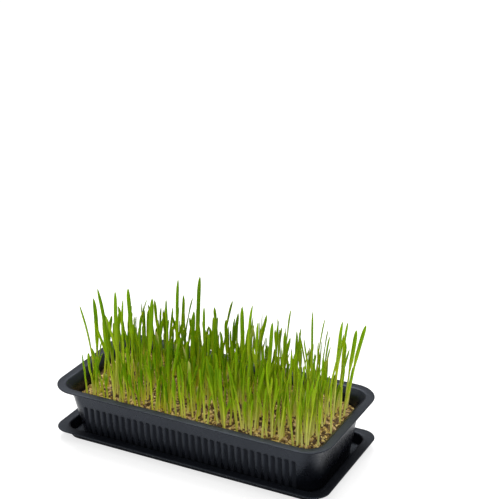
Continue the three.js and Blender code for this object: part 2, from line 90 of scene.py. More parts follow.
# Rings and stops of the finer trays, in millimetres, and the angle of a sharp edge in degrees
DRIP_WALL_STOPS = (0.35, 0.7)
LEAST_HEEL = 0.3
CORNER_CLEAR = 0.4
WALL_LEVELS = (11.0, 15.0, 19.0, 22.0)
FLUTE_END_STEP = 0.55
FLUTE_END_STEPS = 9
FLUTE_UPPER_END = 24.0
WALL_LAST = 31.0
SHOULDER_FOOT = 34.0
UNDER_EASE = 1.5
OVER_EASE = 1.8
FLUTE_STOPS = 10
FLUTE_REACH = 16.0
TRAY_CREASE = 40

# The medium, in millimetres: hollows as place, depth and reach, its net, its rings, its grain, its litter
MEDIUM_MOUND = 1.4
HOLLOWS = ((-98.0, -22.0, 6.5, 20.0), (92.0, 37.0, 5.0, 14.0))
BED_INSET = 11.3
BED_COLUMNS = 150
BED_ROWS = 64
BED_CROWDING = 0.25
BED_GAP = 0.3
BED_LEVELS = (26.5, 16.0, 5.2)
BED_FOOT = 2.3
BED_LIP = 0.6
OPEN_FROM = 0.6
OPEN_TO = 1.5
CLOD_SIZE = 7.0
CLOD_HEIGHT = 0.8
CRUMB_SIZE = 2.2
CRUMB_HEIGHT = 0.55
STREWN_SHARE = 0.9
FLAKE_TILT = 0.9
HUSK_TILT = 0.3
HUSK_LIFT = 0.4

# The rule that the shoots of the solids grow by
RIM_LENGTH = 210.0
RIM_WIDTH = 103.0
MEDIUM_LEVEL = 34.4
BUNCH_COLUMNS = 9
BUNCH_ROWS = 5
BUNCH_PITCH_X = 19.8
BUNCH_PITCH_Y = 15.0
NET_JITTER_X = 3.0
NET_JITTER_Y = 2.2
NET_SEED = 4100
BUNCH_SEED = 4300
ROOT_INSET = 1.5
ROOT_COVER = 0.9
SHOOTS = 10
SHOOT_SEED = 77812
SHOOT_TRIES = 60
SHOOT_MARGIN = 1.7
SHOOT_SUNK = 2.6
SHOOT_SHORTEST = 21.0
SHOOT_LONGEST = 59.0
SHOOT_TALL_SHARE = 0.02
SHOOT_TALL_GAIN = 1.26
SHOOT_RIGHT_GAIN = 0.1
SHOOT_THINNING = 0.42
SHOOT_LEAN = 0.13
SHOOT_BEND = 0.1
SHOOT_STUNTED = 0.3
SHOOT_CLEAR = 0.55
SHOOT_CROWDING = 0.62
STEM_REACH = 1.1
LEAF_REACH = 0.55
STEM_WIDTH = 1.7
LEAF_NARROWEST = 1.7
LEAF_WIDEST = 2.6
SHEATH_TOP = 0.5
CHECK_STEP = 4.0
PLAN_MARGIN = 1.5
SCATTER_X = 0.7548776662466927
SCATTER_Y = 0.5698402909980532
WORD = 0xFFFFFFFF
DRAW_STEP = 0x6D2B79F5

# Short shoots between the bunches, tried over the bed and along its front and right edges
INFILL_SEED = 52000
INFILL_MARGIN = 3.0
INFILL_START_X = 0.37
INFILL_START_Y = 0.11
INFILL_HEIGHT = 0.9
INFILL_CROWDING = 0.5
INFILL_BARE = -90.0
INFILL_FULL = -60.0
INFILL_RIGHT_SHARE = 0.3
INFILL_RIGHT_FROM = 15.0
INFILL_RIGHT_TO = 65.0
EDGE_SEED = 61000
EDGE_PITCH = 4.4
EDGE_END = 8.0
EDGE_INNER = 1.6
EDGE_OUTER = 1.8
SIDE_SEED = 61500
SIDE_PITCH = 1.5 * EDGE_PITCH

# Sheaths and leaves, in millimetres, radians and shares of a height or a width
LEAF_SEED = 81000
LEAF_SEED_STEP = 97
LEAF_STOPS = (0.0, 0.14, 0.3, 0.46, 0.62, 0.76, 0.87, 0.95, 1.0)
LEAF_SIDES = 6
LEAF_OVERLAP = 0.08
LEAF_FOOT = 0.33
LEAF_TURN = 1.3
LEAF_LEAST_TURN = 0.4
LEAF_SWAY = 0.5
LEAF_DROOP = 4.5
LEAF_POINT = 0.74
LEAF_FINEST = 0.06
DRY_SHARE = 0.07
DRY_LEAST = 0.25
SHEATH_SIDES = 6
SHEATH_LOWEST = SHEATH_TOP - 0.08
SHEATH_HIGHEST = SHEATH_TOP + 0.1
SHEATH_RADII = (0.82, 0.86, 0.82, 0.7)
SECOND_LEAF_FROM = 32.0
SECOND_LEAF_REACH = (0.5, 0.82)
SECOND_LEAF_SPREAD = (0.1, 0.24)
SECOND_LEAF_LEAN = 0.06
SECOND_LEAF_FOOT = 0.28
SECOND_LEAF_WIDTH = 0.4
SLIMMEST = 0.8
SLIM_FROM = 0.0
SLIM_TO = 70.0
GRASS_CREASE = 60

# Colours that no setting changes
CRUMB_LIGHT = (0.22, 0.13, 0.045, 1.0)
FLAKE_DARK = (0.045, 0.022, 0.009, 1.0)
FLAKE_BROWN = (0.12, 0.06, 0.02, 1.0)
FLAKE_STRAW = (0.84, 0.66, 0.24, 1.0)
FLAKE_SEAM = (0.09, 0.05, 0.018, 1.0)
HUSK_DARK = (0.25, 0.145, 0.05, 1.0)
PALE_FOOT = (0.93, 0.9, 0.33, 1.0)
PALE_MIDDLE = (0.44, 0.52, 0.03, 1.0)
PALE_TIP = (0.16, 0.32, 0.0015, 1.0)
DEEP_GREEN = (0.02, 0.07, 0.001, 1.0)
VEIN_GREEN = (0.02, 0.06, 0.002, 1.0)
RIB_GREEN = (0.3, 0.42, 0.01, 1.0)
SPOT_GREEN = (0.3, 0.34, 0.005, 1.0)
BLACK = (0.0, 0.0, 0.0, 1.0)
WHITE = (1.0, 1.0, 1.0, 1.0)

# The stage, in metres and degrees, with the sensor and the lens in millimetres
CAMERA_SENSOR = 36.0
CAMERA_LENS = 95.14
CAMERA_NEAR = 0.01
CAMERA_FAR = 20.0
CAMERA_PLACE = (0.39042, -0.71484, 0.47264)
CAMERA_TILT = 68.12
CAMERA_TURN = 26.93
FLOOR_REACH = 4.0
FLOOR_WHITE = 1.13
SKY_FROM = 0.45
KEY_PLACE = (-0.26, 0.34, 1.03)
KEY_AIM = (0.0, 0.0, 0.05)
KEY_SIZE = 0.7
FILL_PLACE = (0.6, -0.85, 0.55)
FILL_AIM = (0.03, 0.0, 0.05)
FILL_SIZE = 0.6

# Shoots that stand out: column, row, foot in shares of the field, height, tilt, turn, width and arch
STANDOUT_SIDE = 0.47
STANDOUT_LEAN = 0.6
STANDOUT_TWIST = 0.25
STANDOUTS = (
    (0, 0, 0.8, 0.76, 80.5, 0.015, 0.3, 2.6, 0.26),
    (1, 0, 0.34, 0.36, 80.2, 0.034, 0.3, 2.5, 0.09),
    (1, 0, 0.34, 0.76, 64.0, 0.061, 0.2, 2.4, 0.0),
    (1, 0, 0.91, 0.34, 76.1, 0.027, 0.7, 1.9, 0.0),
    (1, 0, 0.98, 0.76, 82.9, 0.015, 0.1, 2.9, 0.12),
    (2, 0, 0.0, 1.0, 63.1, 0.023, 0.8, 1.9, 0.0),
    (2, 0, 0.45, 1.0, 77.6, 0.065, 0.0, 3.0, 0.0),
    (0, 1, 0.0, 0.0, 63.3, -0.125, 1.0, 1.7, 0.1),
    (0, 1, 0.0, 0.3, 67.4, 0.0, 0.1, 2.9, 0.06),
    (0, 1, 0.86, 0.0, 56.1, 0.088, 0.4, 2.5, 0.0),
    (3, 1, 0.0, 0.42, 75.1, -0.014, 0.7, 2.1, 0.0),
    (4, 1, 0.94, 0.92, 65.8, 0.02, 0.3, 2.4, 0.0),
    (6, 1, 0.0, 0.88, 80.0, 0.039, 0.5, 2.5, 0.0),
    (6, 1, 0.35, 0.78, 69.5, 0.027, 0.6, 2.0, 0.0),
    (6, 1, 0.94, 0.54, 72.6, 0.044, 0.3, 2.6, 0.0),
    (3, 2, 0.0, 0.57, 82.8, 0.012, 0.4, 2.3, 0.0),
    (3, 2, 0.97, 0.7, 87.0, 0.022, 0.2, 2.7, 0.0),
    (3, 2, 1.0, 0.0, 63.4, 0.037, 0.2, 2.7, 0.0),
    (4, 2, 0.18, 0.3, 67.3, -0.008, 0.5, 1.9, 0.0),
    (5, 2, 1.0, 0.05, 74.4, -0.012, 0.1, 2.9, 0.0),
    (6, 2, 0.84, 0.68, 66.9, 0.033, 0.7, 2.0, 0.0),
    (8, 2, 0.15, 0.05, 84.5, -0.002, 0.7, 2.1, 0.0),
    (6, 3, 0.98, 0.93, 52.7, 0.016, 0.3, 2.4, 0.0),
    (8, 3, 0.95, 0.06, 72.2, 0.067, 0.2, 2.8, 0.0),
    (8, 4, 0.69, 0.28, 65.1, 0.078, 0.6, 1.9, 0.0),
    (8, 4, 0.97, 1.0, 61.3, 0.181, 0.2, 2.8, 0.0),
    (8, 4, 1.0, 0.46, 59.6, 0.104, 0.1, 2.9, 0.0),
)


def length_of(low, high, axis):
    """A side of a CAD node's box in metres."""
    return high[axis] - low[axis]


def length_setting(name, description, default):
    """A length that a user can change, in metres."""
    return FloatProperty(
        name=name,
        description=description,
        default=default,
        subtype="DISTANCE",
        unit="LENGTH",
    )


def colour_setting(name, description, default):
    """A colour that a user can change."""
    return FloatVectorProperty(
        name=name,
        description=description,
        default=default,
        size=3,
        min=0.0,
        max=1.0,
        subtype="COLOR",
    )


class WHEATGRASS_PG_trays(bpy.types.PropertyGroup):
    """Sizes and colour of the two pressed trays."""

    rim_length: length_setting(
        "Rim Length",
        "Length of the grow tray over its rim",
        length_of(RIM_LOW, RIM_HIGH, 0),
    )
    rim_width: length_setting(
        "Rim Width",
        "Width of the grow tray over its rim",
        length_of(RIM_LOW, RIM_HIGH, 1),
    )
    rim_height: length_setting("Rim Height", "Height of the top of the rim over the floor", RIM_HIGH.z)
    drip_length: length_setting(
        "Drip Tray Length",
        "Length of the drip tray over its flange",
        length_of(DRIP_LOW, DRIP_HIGH, 0),
    )
    drip_width: length_setting(
        "Drip Tray Width",
        "Width of the drip tray over its flange",
        length_of(DRIP_LOW, DRIP_HIGH, 1),
    )
    drip_height: length_setting(
        "Drip Tray Height",
        "Height of the drip tray's flange over the floor",
        DRIP_HIGH.z,
    )
    sheet: length_setting("Sheet", "Thickness of the pressed sheet", 1.0 * MM)
    flute_count: IntProperty(
        name="Flutes",
        description="Flutes in each long wall",
        default=33,
        min=1,
    )
    flute_pitch: length_setting("Flute Pitch", "Distance from one flute to the next", 5.0 * MM)
    flute_width: length_setting("Flute Width", "Width of a flute at half its depth", 2.5 * MM)
    flute_depth: length_setting("Flute Depth", "How far a flute is pressed into the wall", 1.1 * MM)
    flute_bottom: length_setting("Flute Bottom", "Height of the lower end of the flutes", 4.6 * MM)
    flute_top: length_setting("Flute Top", "Height of the upper end of the flutes", 26.8 * MM)
    colour: colour_setting("Plastic", "Colour of the black plastic", (0.0018, 0.0021, 0.0034))
    dust_colour: colour_setting(
        "Dust",
        "Colour of the thin dust on the upward faces",
        (0.018, 0.02, 0.027),
    )


class WHEATGRASS_PG_medium(bpy.types.PropertyGroup):
    """Grain and colours of the growing medium."""

    flake_spacing: length_setting("Flake Spacing", "Least distance between two flakes", 1.25 * MM)
    flake_smallest: length_setting("Smallest Flake", "Half the length of the smallest flakes", 0.9 * MM)
    flake_largest: length_setting("Largest Flake", "Half the length of the largest flakes", 2.2 * MM)
    flake_seed: IntProperty(
        name="Flake Seed",
        description="Seed of the scatter of the flakes",
        default=11,
    )
    husk_spacing: length_setting("Husk Spacing", "Least distance between two loose husks", 8.5 * MM)
    husk_length: length_setting("Husk Length", "Length of a seed husk", 6.4 * MM)
    husk_width: length_setting("Husk Width", "Width of a seed husk", 2.4 * MM)
    husk_seed: IntProperty(
        name="Husk Seed",
        description="Seed of the scatter of the loose husks",
        default=23,
    )
    bed_colour: colour_setting("Bed", "Colour of the dark crumbs under the flakes", (0.03, 0.018, 0.008))
    flake_colour: colour_setting("Flakes", "Middle colour of the mica flakes", (0.54, 0.36, 0.065))
    husk_colour: colour_setting("Husks", "Colour of the seed husks", (0.52, 0.36, 0.16))


class WHEATGRASS_PG_grass(bpy.types.PropertyGroup):
    """Make and colours of the grass."""

    infill: IntProperty(
        name="Infill Shoots",
        description="Shoots tried in the gaps between the bunches",
        default=200,
        min=0,
    )
    second_leaf: FloatProperty(
        name="Second Leaves",
        description="Share of the shoots that have a second leaf",
        default=0.24,
        min=0.0,
        max=1.0,
        subtype="FACTOR",
    )
    leaf_thickness: FloatProperty(
        name="Leaf Thickness",
        description="Thickness of a leaf as a share of its width",
        default=0.2,
        min=0.02,
        max=1.0,
        subtype="FACTOR",
    )
    leaf_fold: FloatProperty(
        name="Leaf Fold",
        description="Depth of a leaf's channel as a share of half its width",
        default=0.75,
        min=0.0,
        max=1.0,
        subtype="FACTOR",
    )
    foot_colour: colour_setting("Foot", "Colour of the pale sheaths near the medium", (0.92, 0.83, 0.08))
    middle_colour: colour_setting("Middle", "Colour half way up a shoot", (0.27, 0.45, 0.002))
    tip_colour: colour_setting("Tip", "Colour of the upper leaves", (0.085, 0.225, 0.0005))
    straw_colour: colour_setting("Straw", "Colour of a dry leaf tip", (0.52, 0.42, 0.17))


class WHEATGRASS_PG_stage(bpy.types.PropertyGroup):
    """Floor and lights."""

    floor_colour: colour_setting("Floor", "Colour of the floor", (0.93, 0.93, 0.93))
    shadow: FloatProperty(
        name="Shadow",
        description="How much of the shading on the floor the picture shows, where the rest is plain white",
        default=0.42,
        min=0.0,
        max=1.0,
        subtype="FACTOR",
    )
    sky: FloatProperty(
        name="Sky",
        description="Strength of the light from straight above",
        default=1.35,
        min=0.0,
    )
    horizon: FloatProperty(
        name="Horizon",
        description="Strength of the light from all round",
        default=0.22,
        min=0.0,
    )
    key_power: FloatProperty(
        name="Key Light",
        description="Power of the large light over the back of the tray",
        default=14.0,
        min=0.0,
        unit="POWER",
    )
    fill_power: FloatProperty(
        name="Fill Light",
        description="Power of the light in front of the tray",
        default=4.6,
        min=0.0,
        unit="POWER",
    )


def put(tree, kind, feeds, **settings):
    """Adds a node with its settings, and sets or links its inputs by identifier or name."""
    made = tree.nodes.new(kind)
    for name, value in settings.items():
        setattr(made, name, value)
    for key, feed in feeds.items():
        target = next(s for s in made.inputs if key in (s.identifier, s.name))
        if isinstance(feed, bpy.types.NodeSocket):
            tree.links.new(feed, target)
        else:
            target.default_value = feed
    return made


def out(made, key=None):
    """An output of a node by identifier or name, or its first one."""
    if key is None:
        return made.outputs[0]
    return next(s for s in made.outputs if key in (s.identifier, s.name))


def new_tree(name, kind, inputs, outputs):
    """A node tree with named inputs and outputs, and its two end nodes."""
    tree = bpy.data.node_groups.new(name, kind)
    for in_out, sockets in (("INPUT", inputs), ("OUTPUT", outputs)):
        for label, socket in sockets.items():
            tree.interface.new_socket(label, in_out=in_out, socket_type="NodeSocket" + socket)
    return tree, tree.nodes.new("NodeGroupInput"), tree.nodes.new("NodeGroupOutput")


def geometry_tree(name, sizes):
    """A Geometry Nodes tree that takes a mesh, its sizes and a material, and its two end nodes."""
    inputs = {"Geometry": "Geometry", **sizes, "Material": "Material"}
    return new_tree(name, "GeometryNodeTree", inputs, {"Geometry": "Geometry"})


def close_tree(tree, start, end, geometry):
    """Ends a Geometry Nodes tree with plain faces and their material."""
    real = put(tree, "GeometryNodeRealizeInstances", {"Geometry": geometry})
    feeds = {"Geometry": out(real), "Material": out(start, "Material")}
    tree.links.new(out(put(tree, "GeometryNodeSetMaterial", feeds)), end.inputs["Geometry"])


def math_node(tree, operation, first, second=0.0):
    """The output of a Math node."""
    return out(put(tree, "ShaderNodeMath", {"Value": first, "Value_001": second}, operation=operation))


def map_range(tree, value, from_min, from_max, to_min, to_max, **settings):
    """The output of a Map Range node."""
    feeds = {
        "Value": value,
        "From Min": from_min,
        "From Max": from_max,
        "To Min": to_min,
        "To Max": to_max,
    }
    return out(put(tree, "ShaderNodeMapRange", feeds, **settings))


def vector_of(tree, **parts):
    """A vector from its parts."""
    return out(put(tree, "ShaderNodeCombineXYZ", parts))


def position_parts(tree):
    """The position in a Geometry Nodes tree, split by axis."""
    return put(tree, "ShaderNodeSeparateXYZ", {"Vector": out(tree.nodes.new("GeometryNodeInputPosition"))})


def attribute_of(tree, name, data_type="FLOAT"):
    """A named attribute as a field of a Geometry Nodes tree."""
    made = put(tree, "GeometryNodeInputNamedAttribute", {"Name": name}, data_type=data_type)
    return out(made, "Attribute")


def keep_value(tree, geometry, name, value, domain="POINT"):
    """Geometry that carries a value as a named attribute."""
    feeds = {"Geometry": geometry, "Name": name, "Value": value}
    return out(put(tree, "GeometryNodeStoreNamedAttribute", feeds, data_type="FLOAT", domain=domain))


def random_value(tree, kind, lowest, highest, seed):
    """The output of a Random Value node, whose sockets are told apart by the end of their names."""
    ending = {"FLOAT_VECTOR": "", "FLOAT": "_001", "INT": "_002"}[kind]
    feeds = {"Min" + ending: lowest, "Max" + ending: highest, "Seed": seed}
    return out(put(tree, "FunctionNodeRandomValue", feeds, data_type=kind), "Value" + ending)


def run_tree(piece, tree, values):
    """Runs a Geometry Nodes tree on a piece and keeps the result as its plain mesh."""
    modifier = piece.modifiers.new(tree.name, "NODES")
    modifier.node_group = tree
    for item in tree.interface.items_tree:
        if item.item_type == "SOCKET" and item.in_out == "INPUT" and item.name in values:
            modifier[item.identifier] = values[item.name]
    graph = bpy.context.evaluated_depsgraph_get()
    grown = piece.evaluated_get(graph)
    mesh = bpy.data.meshes.new_from_object(grown, preserve_all_data_layers=True, depsgraph=graph)
    piece.modifiers.remove(modifier)
    if len(mesh.polygons) == 0:
        raise RuntimeError(piece.name + ": the tree " + tree.name + " made no faces")
    old = piece.data
    piece.data = mesh
    mesh.name = piece.name
    bpy.data.meshes.remove(old)


def face_outwards(mesh):
    """Turns the faces of closed shells outwards."""
    shell = bmesh.new()
    shell.from_mesh(mesh)
    bmesh.ops.recalc_face_normals(shell, faces=shell.faces)
    shell.to_mesh(mesh)
    shell.free()


def new_piece(name, mesh):
    """An object at the origin whose place is in its mesh."""
    piece = bpy.data.objects.new(name, mesh)
    bpy.context.scene.collection.objects.link(piece)
    return piece


def finish_piece(piece, slot, *nodes):
    """Hands a finished piece to the frame."""
    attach(piece, BODY)
    if nodes:
        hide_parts(*nodes)


def lerp(start, end, share):
    """A value between two others."""
    return start + (end - start) * share


def smooth_step(start, end, value):
    """A soft step from 0 to 1."""
    share = min(max((value - start) / (end - start), 0.0), 1.0)
    return share * share * (3.0 - 2.0 * share)


def mottle_group():
    """Shader group: soft spots between two values, at a number of spots for each metre."""
    found = bpy.data.node_groups.get("Mottle")
    if found:
        return found
    inputs = {"Vector": "Vector"}
    for name in ("Scale", "Detail", "Lowest", "Highest"):
        inputs[name] = "Float"
    tree, start, end = new_tree("Mottle", "ShaderNodeTree", inputs, {"Value": "Float"})
    feeds = {name: out(start, name) for name in ("Vector", "Scale", "Detail")}
    feeds["Roughness"] = 0.6
    spots = put(tree, "ShaderNodeTexNoise", feeds)
    spread = map_range(tree, out(spots, "Fac"), 0.3, 0.7, out(start, "Lowest"), out(start, "Highest"))
    tree.links.new(spread, end.inputs["Value"])
    return tree


def new_material(name):
    """A material with its node tree, its shader and its object coordinates."""
    material = bpy.data.materials.new(name)
    material.use_nodes = True
    tree = material.node_tree
    shader = tree.nodes["Principled BSDF"]
    place = out(tree.nodes.new("ShaderNodeTexCoord"), "Object")
    return material, tree, shader, place


def mottle(tree, place, scale, lowest, highest, detail=3.0):
    """A placed Mottle group's value."""
    feeds = {"Vector": place, "Scale": scale, "Detail": detail, "Lowest": lowest, "Highest": highest}
    return out(put(tree, "ShaderNodeGroup", feeds, node_tree=mottle_group()))


def blend_colour(tree, share, first, second):
    """The output of a colour mix."""
    feeds = {"Factor_Float": share, "A_Color": first, "B_Color": second}
    mixed = put(tree, "ShaderNodeMix", feeds, data_type="RGBA")
    return out(mixed, "Result_Color")


def colour_ramp(tree, value, stops):
    """The output of a colour ramp, from stops as positions and colours in rising order."""
    ramp = put(tree, "ShaderNodeValToRGB", {"Fac": value})
    marks = ramp.color_ramp.elements
    for mark, (position, colour) in zip(marks, (stops[0], stops[-1])):
        mark.position = position
        mark.color = colour
    for position, colour in stops[1:-1]:
        marks.new(position).color = colour
    return out(ramp, "Color")


def opaque(colour):
    """A colour property with its alpha."""
    return (colour[0], colour[1], colour[2], 1.0)


def shader_attribute(tree, name):
    """A named attribute's value in a material."""
    return out(put(tree, "ShaderNodeAttribute", {}, attribute_name=name), "Fac")


def bump(tree, shader, height, strength, distance):
    """Feeds a height into the shader's normal."""
    feeds = {"Height": height, "Strength": strength, "Distance": distance}
    made = put(tree, "ShaderNodeBump", feeds)
    tree.links.new(out(made), shader.inputs["Normal"])


def plastic_material(trays):
    """Black pressed plastic: fine grain and soft smears, thin dust on what faces up, and dull flutes."""
    found = bpy.data.materials.get("black_pressed_plastic")
    if found:
        return found
    material, tree, shader, place = new_material("black_pressed_plastic")
    normal = out(tree.nodes.new("ShaderNodeNewGeometry"), "Normal")
    upward = out(put(tree, "ShaderNodeSeparateXYZ", {"Vector": normal}), "Z")
    facing_up = map_range(tree, upward, 0.35, 0.95, 0.0, 1.0)
    dusty = math_node(tree, "MULTIPLY", facing_up, mottle(tree, place, 260.0, 0.0, 0.12, 5.0))
    tint = mottle(tree, place, 45.0, 0.0, 0.14)
    base = blend_colour(tree, tint, opaque(trays.colour), opaque(trays.dust_colour))
    colour = blend_colour(tree, dusty, base, opaque(trays.dust_colour))
    tree.links.new(colour, shader.inputs["Base Color"])
    smooth = mottle(tree, place, 70.0, 0.22, 0.32, 4.0)
    dull = math_node(tree, "MULTIPLY", shader_attribute(tree, "pressed"), 0.65)
    dull = math_node(tree, "MAXIMUM", dull, math_node(tree, "MULTIPLY", facing_up, 0.22))
    tree.links.new(math_node(tree, "ADD", smooth, dull), shader.inputs["Roughness"])
    shader.inputs["Specular IOR Level"].default_value = 0.37
    shader.inputs["Specular Tint"].default_value = (0.72, 0.82, 1.0, 1.0)
    fine = mottle(tree, place, 1150.0, 0.0, 0.7, 2.0)
    coarse = mottle(tree, place, 220.0, 0.0, 0.5, 2.0)
    bump(tree, shader, math_node(tree, "ADD", fine, coarse), 0.16, 0.0004)
    return material


def bed_material(medium):
    """Dark crumbs between the flakes."""
    material, tree, shader, place = new_material("dark_crumbs")
    spots = mottle(tree, place, 520.0, 0.0, 0.75, 5.0)
    colour = blend_colour(tree, spots, opaque(medium.bed_colour), CRUMB_LIGHT)
    tree.links.new(colour, shader.inputs["Base Color"])
    shader.inputs["Roughness"].default_value = 0.95
    shader.inputs["Specular IOR Level"].default_value = 0.2
    bump(tree, shader, mottle(tree, place, 900.0, 0.0, 1.0, 4.0), 0.9, 0.001)
    return material


def flake_material(medium):
    """Mica flakes: each with its own tone, from dark brown over gold to pale straw, with dark seams."""
    material, tree, shader, place = new_material("mica_flakes")
    gold = opaque(medium.flake_colour)
    stops = ((0.0, FLAKE_DARK), (0.26, FLAKE_BROWN), (0.52, gold), (1.0, FLAKE_STRAW))
    tones = colour_ramp(tree, shader_attribute(tree, "tone"), stops)
    seams = mottle(tree, place, 1400.0, 0.0, 0.5, 2.0)
    colour = blend_colour(tree, seams, tones, FLAKE_SEAM)
    tree.links.new(colour, shader.inputs["Base Color"])
    tree.links.new(mottle(tree, place, 600.0, 0.45, 0.85), shader.inputs["Roughness"])
    bump(tree, shader, mottle(tree, place, 1800.0, 0.0, 1.0, 2.0), 0.5, 0.0004)
    return material


def husk_material(medium):
    """Seed husks: straw with dark flecks."""
    material, tree, shader, place = new_material("seed_husks")
    tone = shader_attribute(tree, "tone")
    base = blend_colour(tree, tone, HUSK_DARK, opaque(medium.husk_colour))
    flecks = mottle(tree, place, 900.0, 0.0, 0.45, 3.0)
    tree.links.new(blend_colour(tree, flecks, base, HUSK_DARK), shader.inputs["Base Color"])
    shader.inputs["Roughness"].default_value = 0.62
    bump(tree, shader, flecks, 0.5, 0.0003)
    return material


def grass_material(grass):
    """Young grass: pale sheaths, yellow-green stems, green leaves with veins, and a few dry tips."""
    material, tree, shader, place = new_material("young_grass")
    grown = shader_attribute(tree, "grown")
    tone = shader_attribute(tree, "tone")
    foot = opaque(grass.foot_colour)
    middle = opaque(grass.middle_colour)
    tip = opaque(grass.tip_colour)
    plain = colour_ramp(tree, grown, ((0.0, foot), (0.42, middle), (0.72, tip)))
    pale = colour_ramp(tree, grown, ((0.0, PALE_FOOT), (0.4, PALE_MIDDLE), (0.8, PALE_TIP)))
    along = out(put(tree, "ShaderNodeSeparateXYZ", {"Vector": place}), "X")
    # Shoots are mixed further towards the pale ramp the further right they stand along the tray
    paler_rightwards = map_range(tree, along, -0.01, 0.095, 0.0, 0.6)
    paleness = math_node(tree, "ADD", map_range(tree, tone, 0.25, 1.0, 0.0, 0.75), paler_rightwards)
    colour = blend_colour(tree, paleness, plain, pale)
    colour = blend_colour(tree, map_range(tree, tone, 0.0, 0.3, 0.45, 0.0), colour, DEEP_GREEN)
    across = shader_attribute(tree, "across")
    leafy = shader_attribute(tree, "leafy")
    waves = math_node(tree, "SINE", math_node(tree, "MULTIPLY", across, 19.0))
    lines = math_node(tree, "MULTIPLY", math_node(tree, "ADD", waves, 1.0), 0.07)
    colour = blend_colour(tree, math_node(tree, "MULTIPLY", lines, leafy), colour, VEIN_GREEN)
    rib = map_range(tree, math_node(tree, "ABSOLUTE", across), 0.02, 0.2, 0.22, 0.0)
    colour = blend_colour(tree, math_node(tree, "MULTIPLY", rib, leafy), colour, RIB_GREEN)
    near_tip = map_range(tree, grown, 0.78, 1.0, 0.0, 1.0)
    dry = math_node(tree, "MULTIPLY", near_tip, shader_attribute(tree, "dry"))
    colour = blend_colour(tree, dry, colour, opaque(grass.straw_colour))
    spots = mottle(tree, place, 330.0, 0.0, 0.12, 3.0)
    colour = blend_colour(tree, spots, colour, SPOT_GREEN)
    tree.links.new(colour, shader.inputs["Base Color"])
    tree.links.new(mottle(tree, place, 400.0, 0.4, 0.6), shader.inputs["Roughness"])
    shader.inputs["Specular IOR Level"].default_value = 0.05
    shader.inputs["Subsurface Weight"].default_value = 0.2
    shader.inputs["Subsurface Radius"].default_value = (0.9, 1.0, 0.25)
    shader.inputs["Subsurface Scale"].default_value = 0.002
    bump(tree, shader, waves, 0.25, 0.0002)
    return material


def wall_arc(inset, z, radius, first, last, steps):
    """Points of an arc in the section of a wall, as insets and heights. Angles count from outside, up."""
    points = []
    for i in range(steps + 1):
        angle = math.radians(lerp(first, last, i / steps))
        points.append((inset - radius * math.cos(angle), z + radius * math.sin(angle)))
    return points


def rounded_loop(half_x, half_y, corner, long_stops, short_stops, corner_steps):
    """A rounded rectangle, anticlockwise from the front's left end. Stops are shares of a straight."""
    straight_x = half_x - corner
    straight_y = half_y - corner
    points = []
    sides = (
        ([(s * straight_x, -half_y) for s in long_stops], (straight_x, -straight_y), -90),
        ([(half_x, s * straight_y) for s in short_stops], (straight_x, straight_y), 0),
        ([(-s * straight_x, half_y) for s in long_stops], (-straight_x, straight_y), 90),
        ([(-half_x, -s * straight_y) for s in short_stops], (-straight_x, -straight_y), 180),
    )
    for side, centre, angle in sides:
        points += side
        for i in range(1, corner_steps):
            turn = math.radians(angle + 90 * i / corner_steps)
            points.append((centre[0] + corner * math.cos(turn), centre[1] + corner * math.sin(turn)))
    return points


def tray_mesh(name, rings, drains):
    """A tray of sheet from rings of points that run up its outside and down its inside, with its floor."""
    shell = bmesh.new()
    loops = [[shell.verts.new(Vector(p) * MM) for p in ring] for ring in rings]
    count = len(loops[0])
    for low, high in zip(loops, loops[1:]):
        for i in range(count):
            after = (i + 1) % count
            shell.faces.new((low[i], low[after], high[after], high[i]))
    under = []
    over = []
    for x, y in drains:
        turns = [2 * math.pi * i / DRAIN_SIDES for i in range(DRAIN_SIDES)]
        around = [(x + DRAIN_RADIUS * math.cos(t), y + DRAIN_RADIUS * math.sin(t)) for t in turns]
        lower = [shell.verts.new(Vector((p[0], p[1], rings[0][0][2])) * MM) for p in around]
        upper = [shell.verts.new(Vector((p[0], p[1], rings[-1][0][2])) * MM) for p in around]
        for i in range(DRAIN_SIDES):
            after = (i + 1) % DRAIN_SIDES
            shell.faces.new((lower[i], upper[i], upper[after], lower[after]))
        under.append(lower)
        over.append(upper)
    for outline, holes in ((loops[0], under), (loops[-1], over)):
        edges = []
        for loop in [outline] + holes:
            edges += [shell.edges.get((loop[i], loop[(i + 1) % len(loop)])) for i in range(len(loop))]
        bmesh.ops.triangle_fill(shell, use_beauty=True, edges=edges, normal=(0.0, 0.0, 1.0))
    bmesh.ops.recalc_face_normals(shell, faces=shell.faces)
    mesh = bpy.data.meshes.new(name)
    shell.to_mesh(mesh)
    shell.free()
    return mesh


def shade(mesh, degrees):
    """Smooth faces, with sharp edges where the surface turns by more than an angle."""
    mesh.shade_smooth()
    mesh.set_sharp_from_angle(angle=math.radians(degrees))


def point_between(start, end, share):
    """A point of a section between two others."""
    return lerp(start[0], end[0], share), lerp(start[1], end[1], share)


def even_stops(steps):
    """Stops from -1 to 1 at even steps on both sides of the middle."""
    return [i / steps - 1 for i in range(2 * steps + 1)]


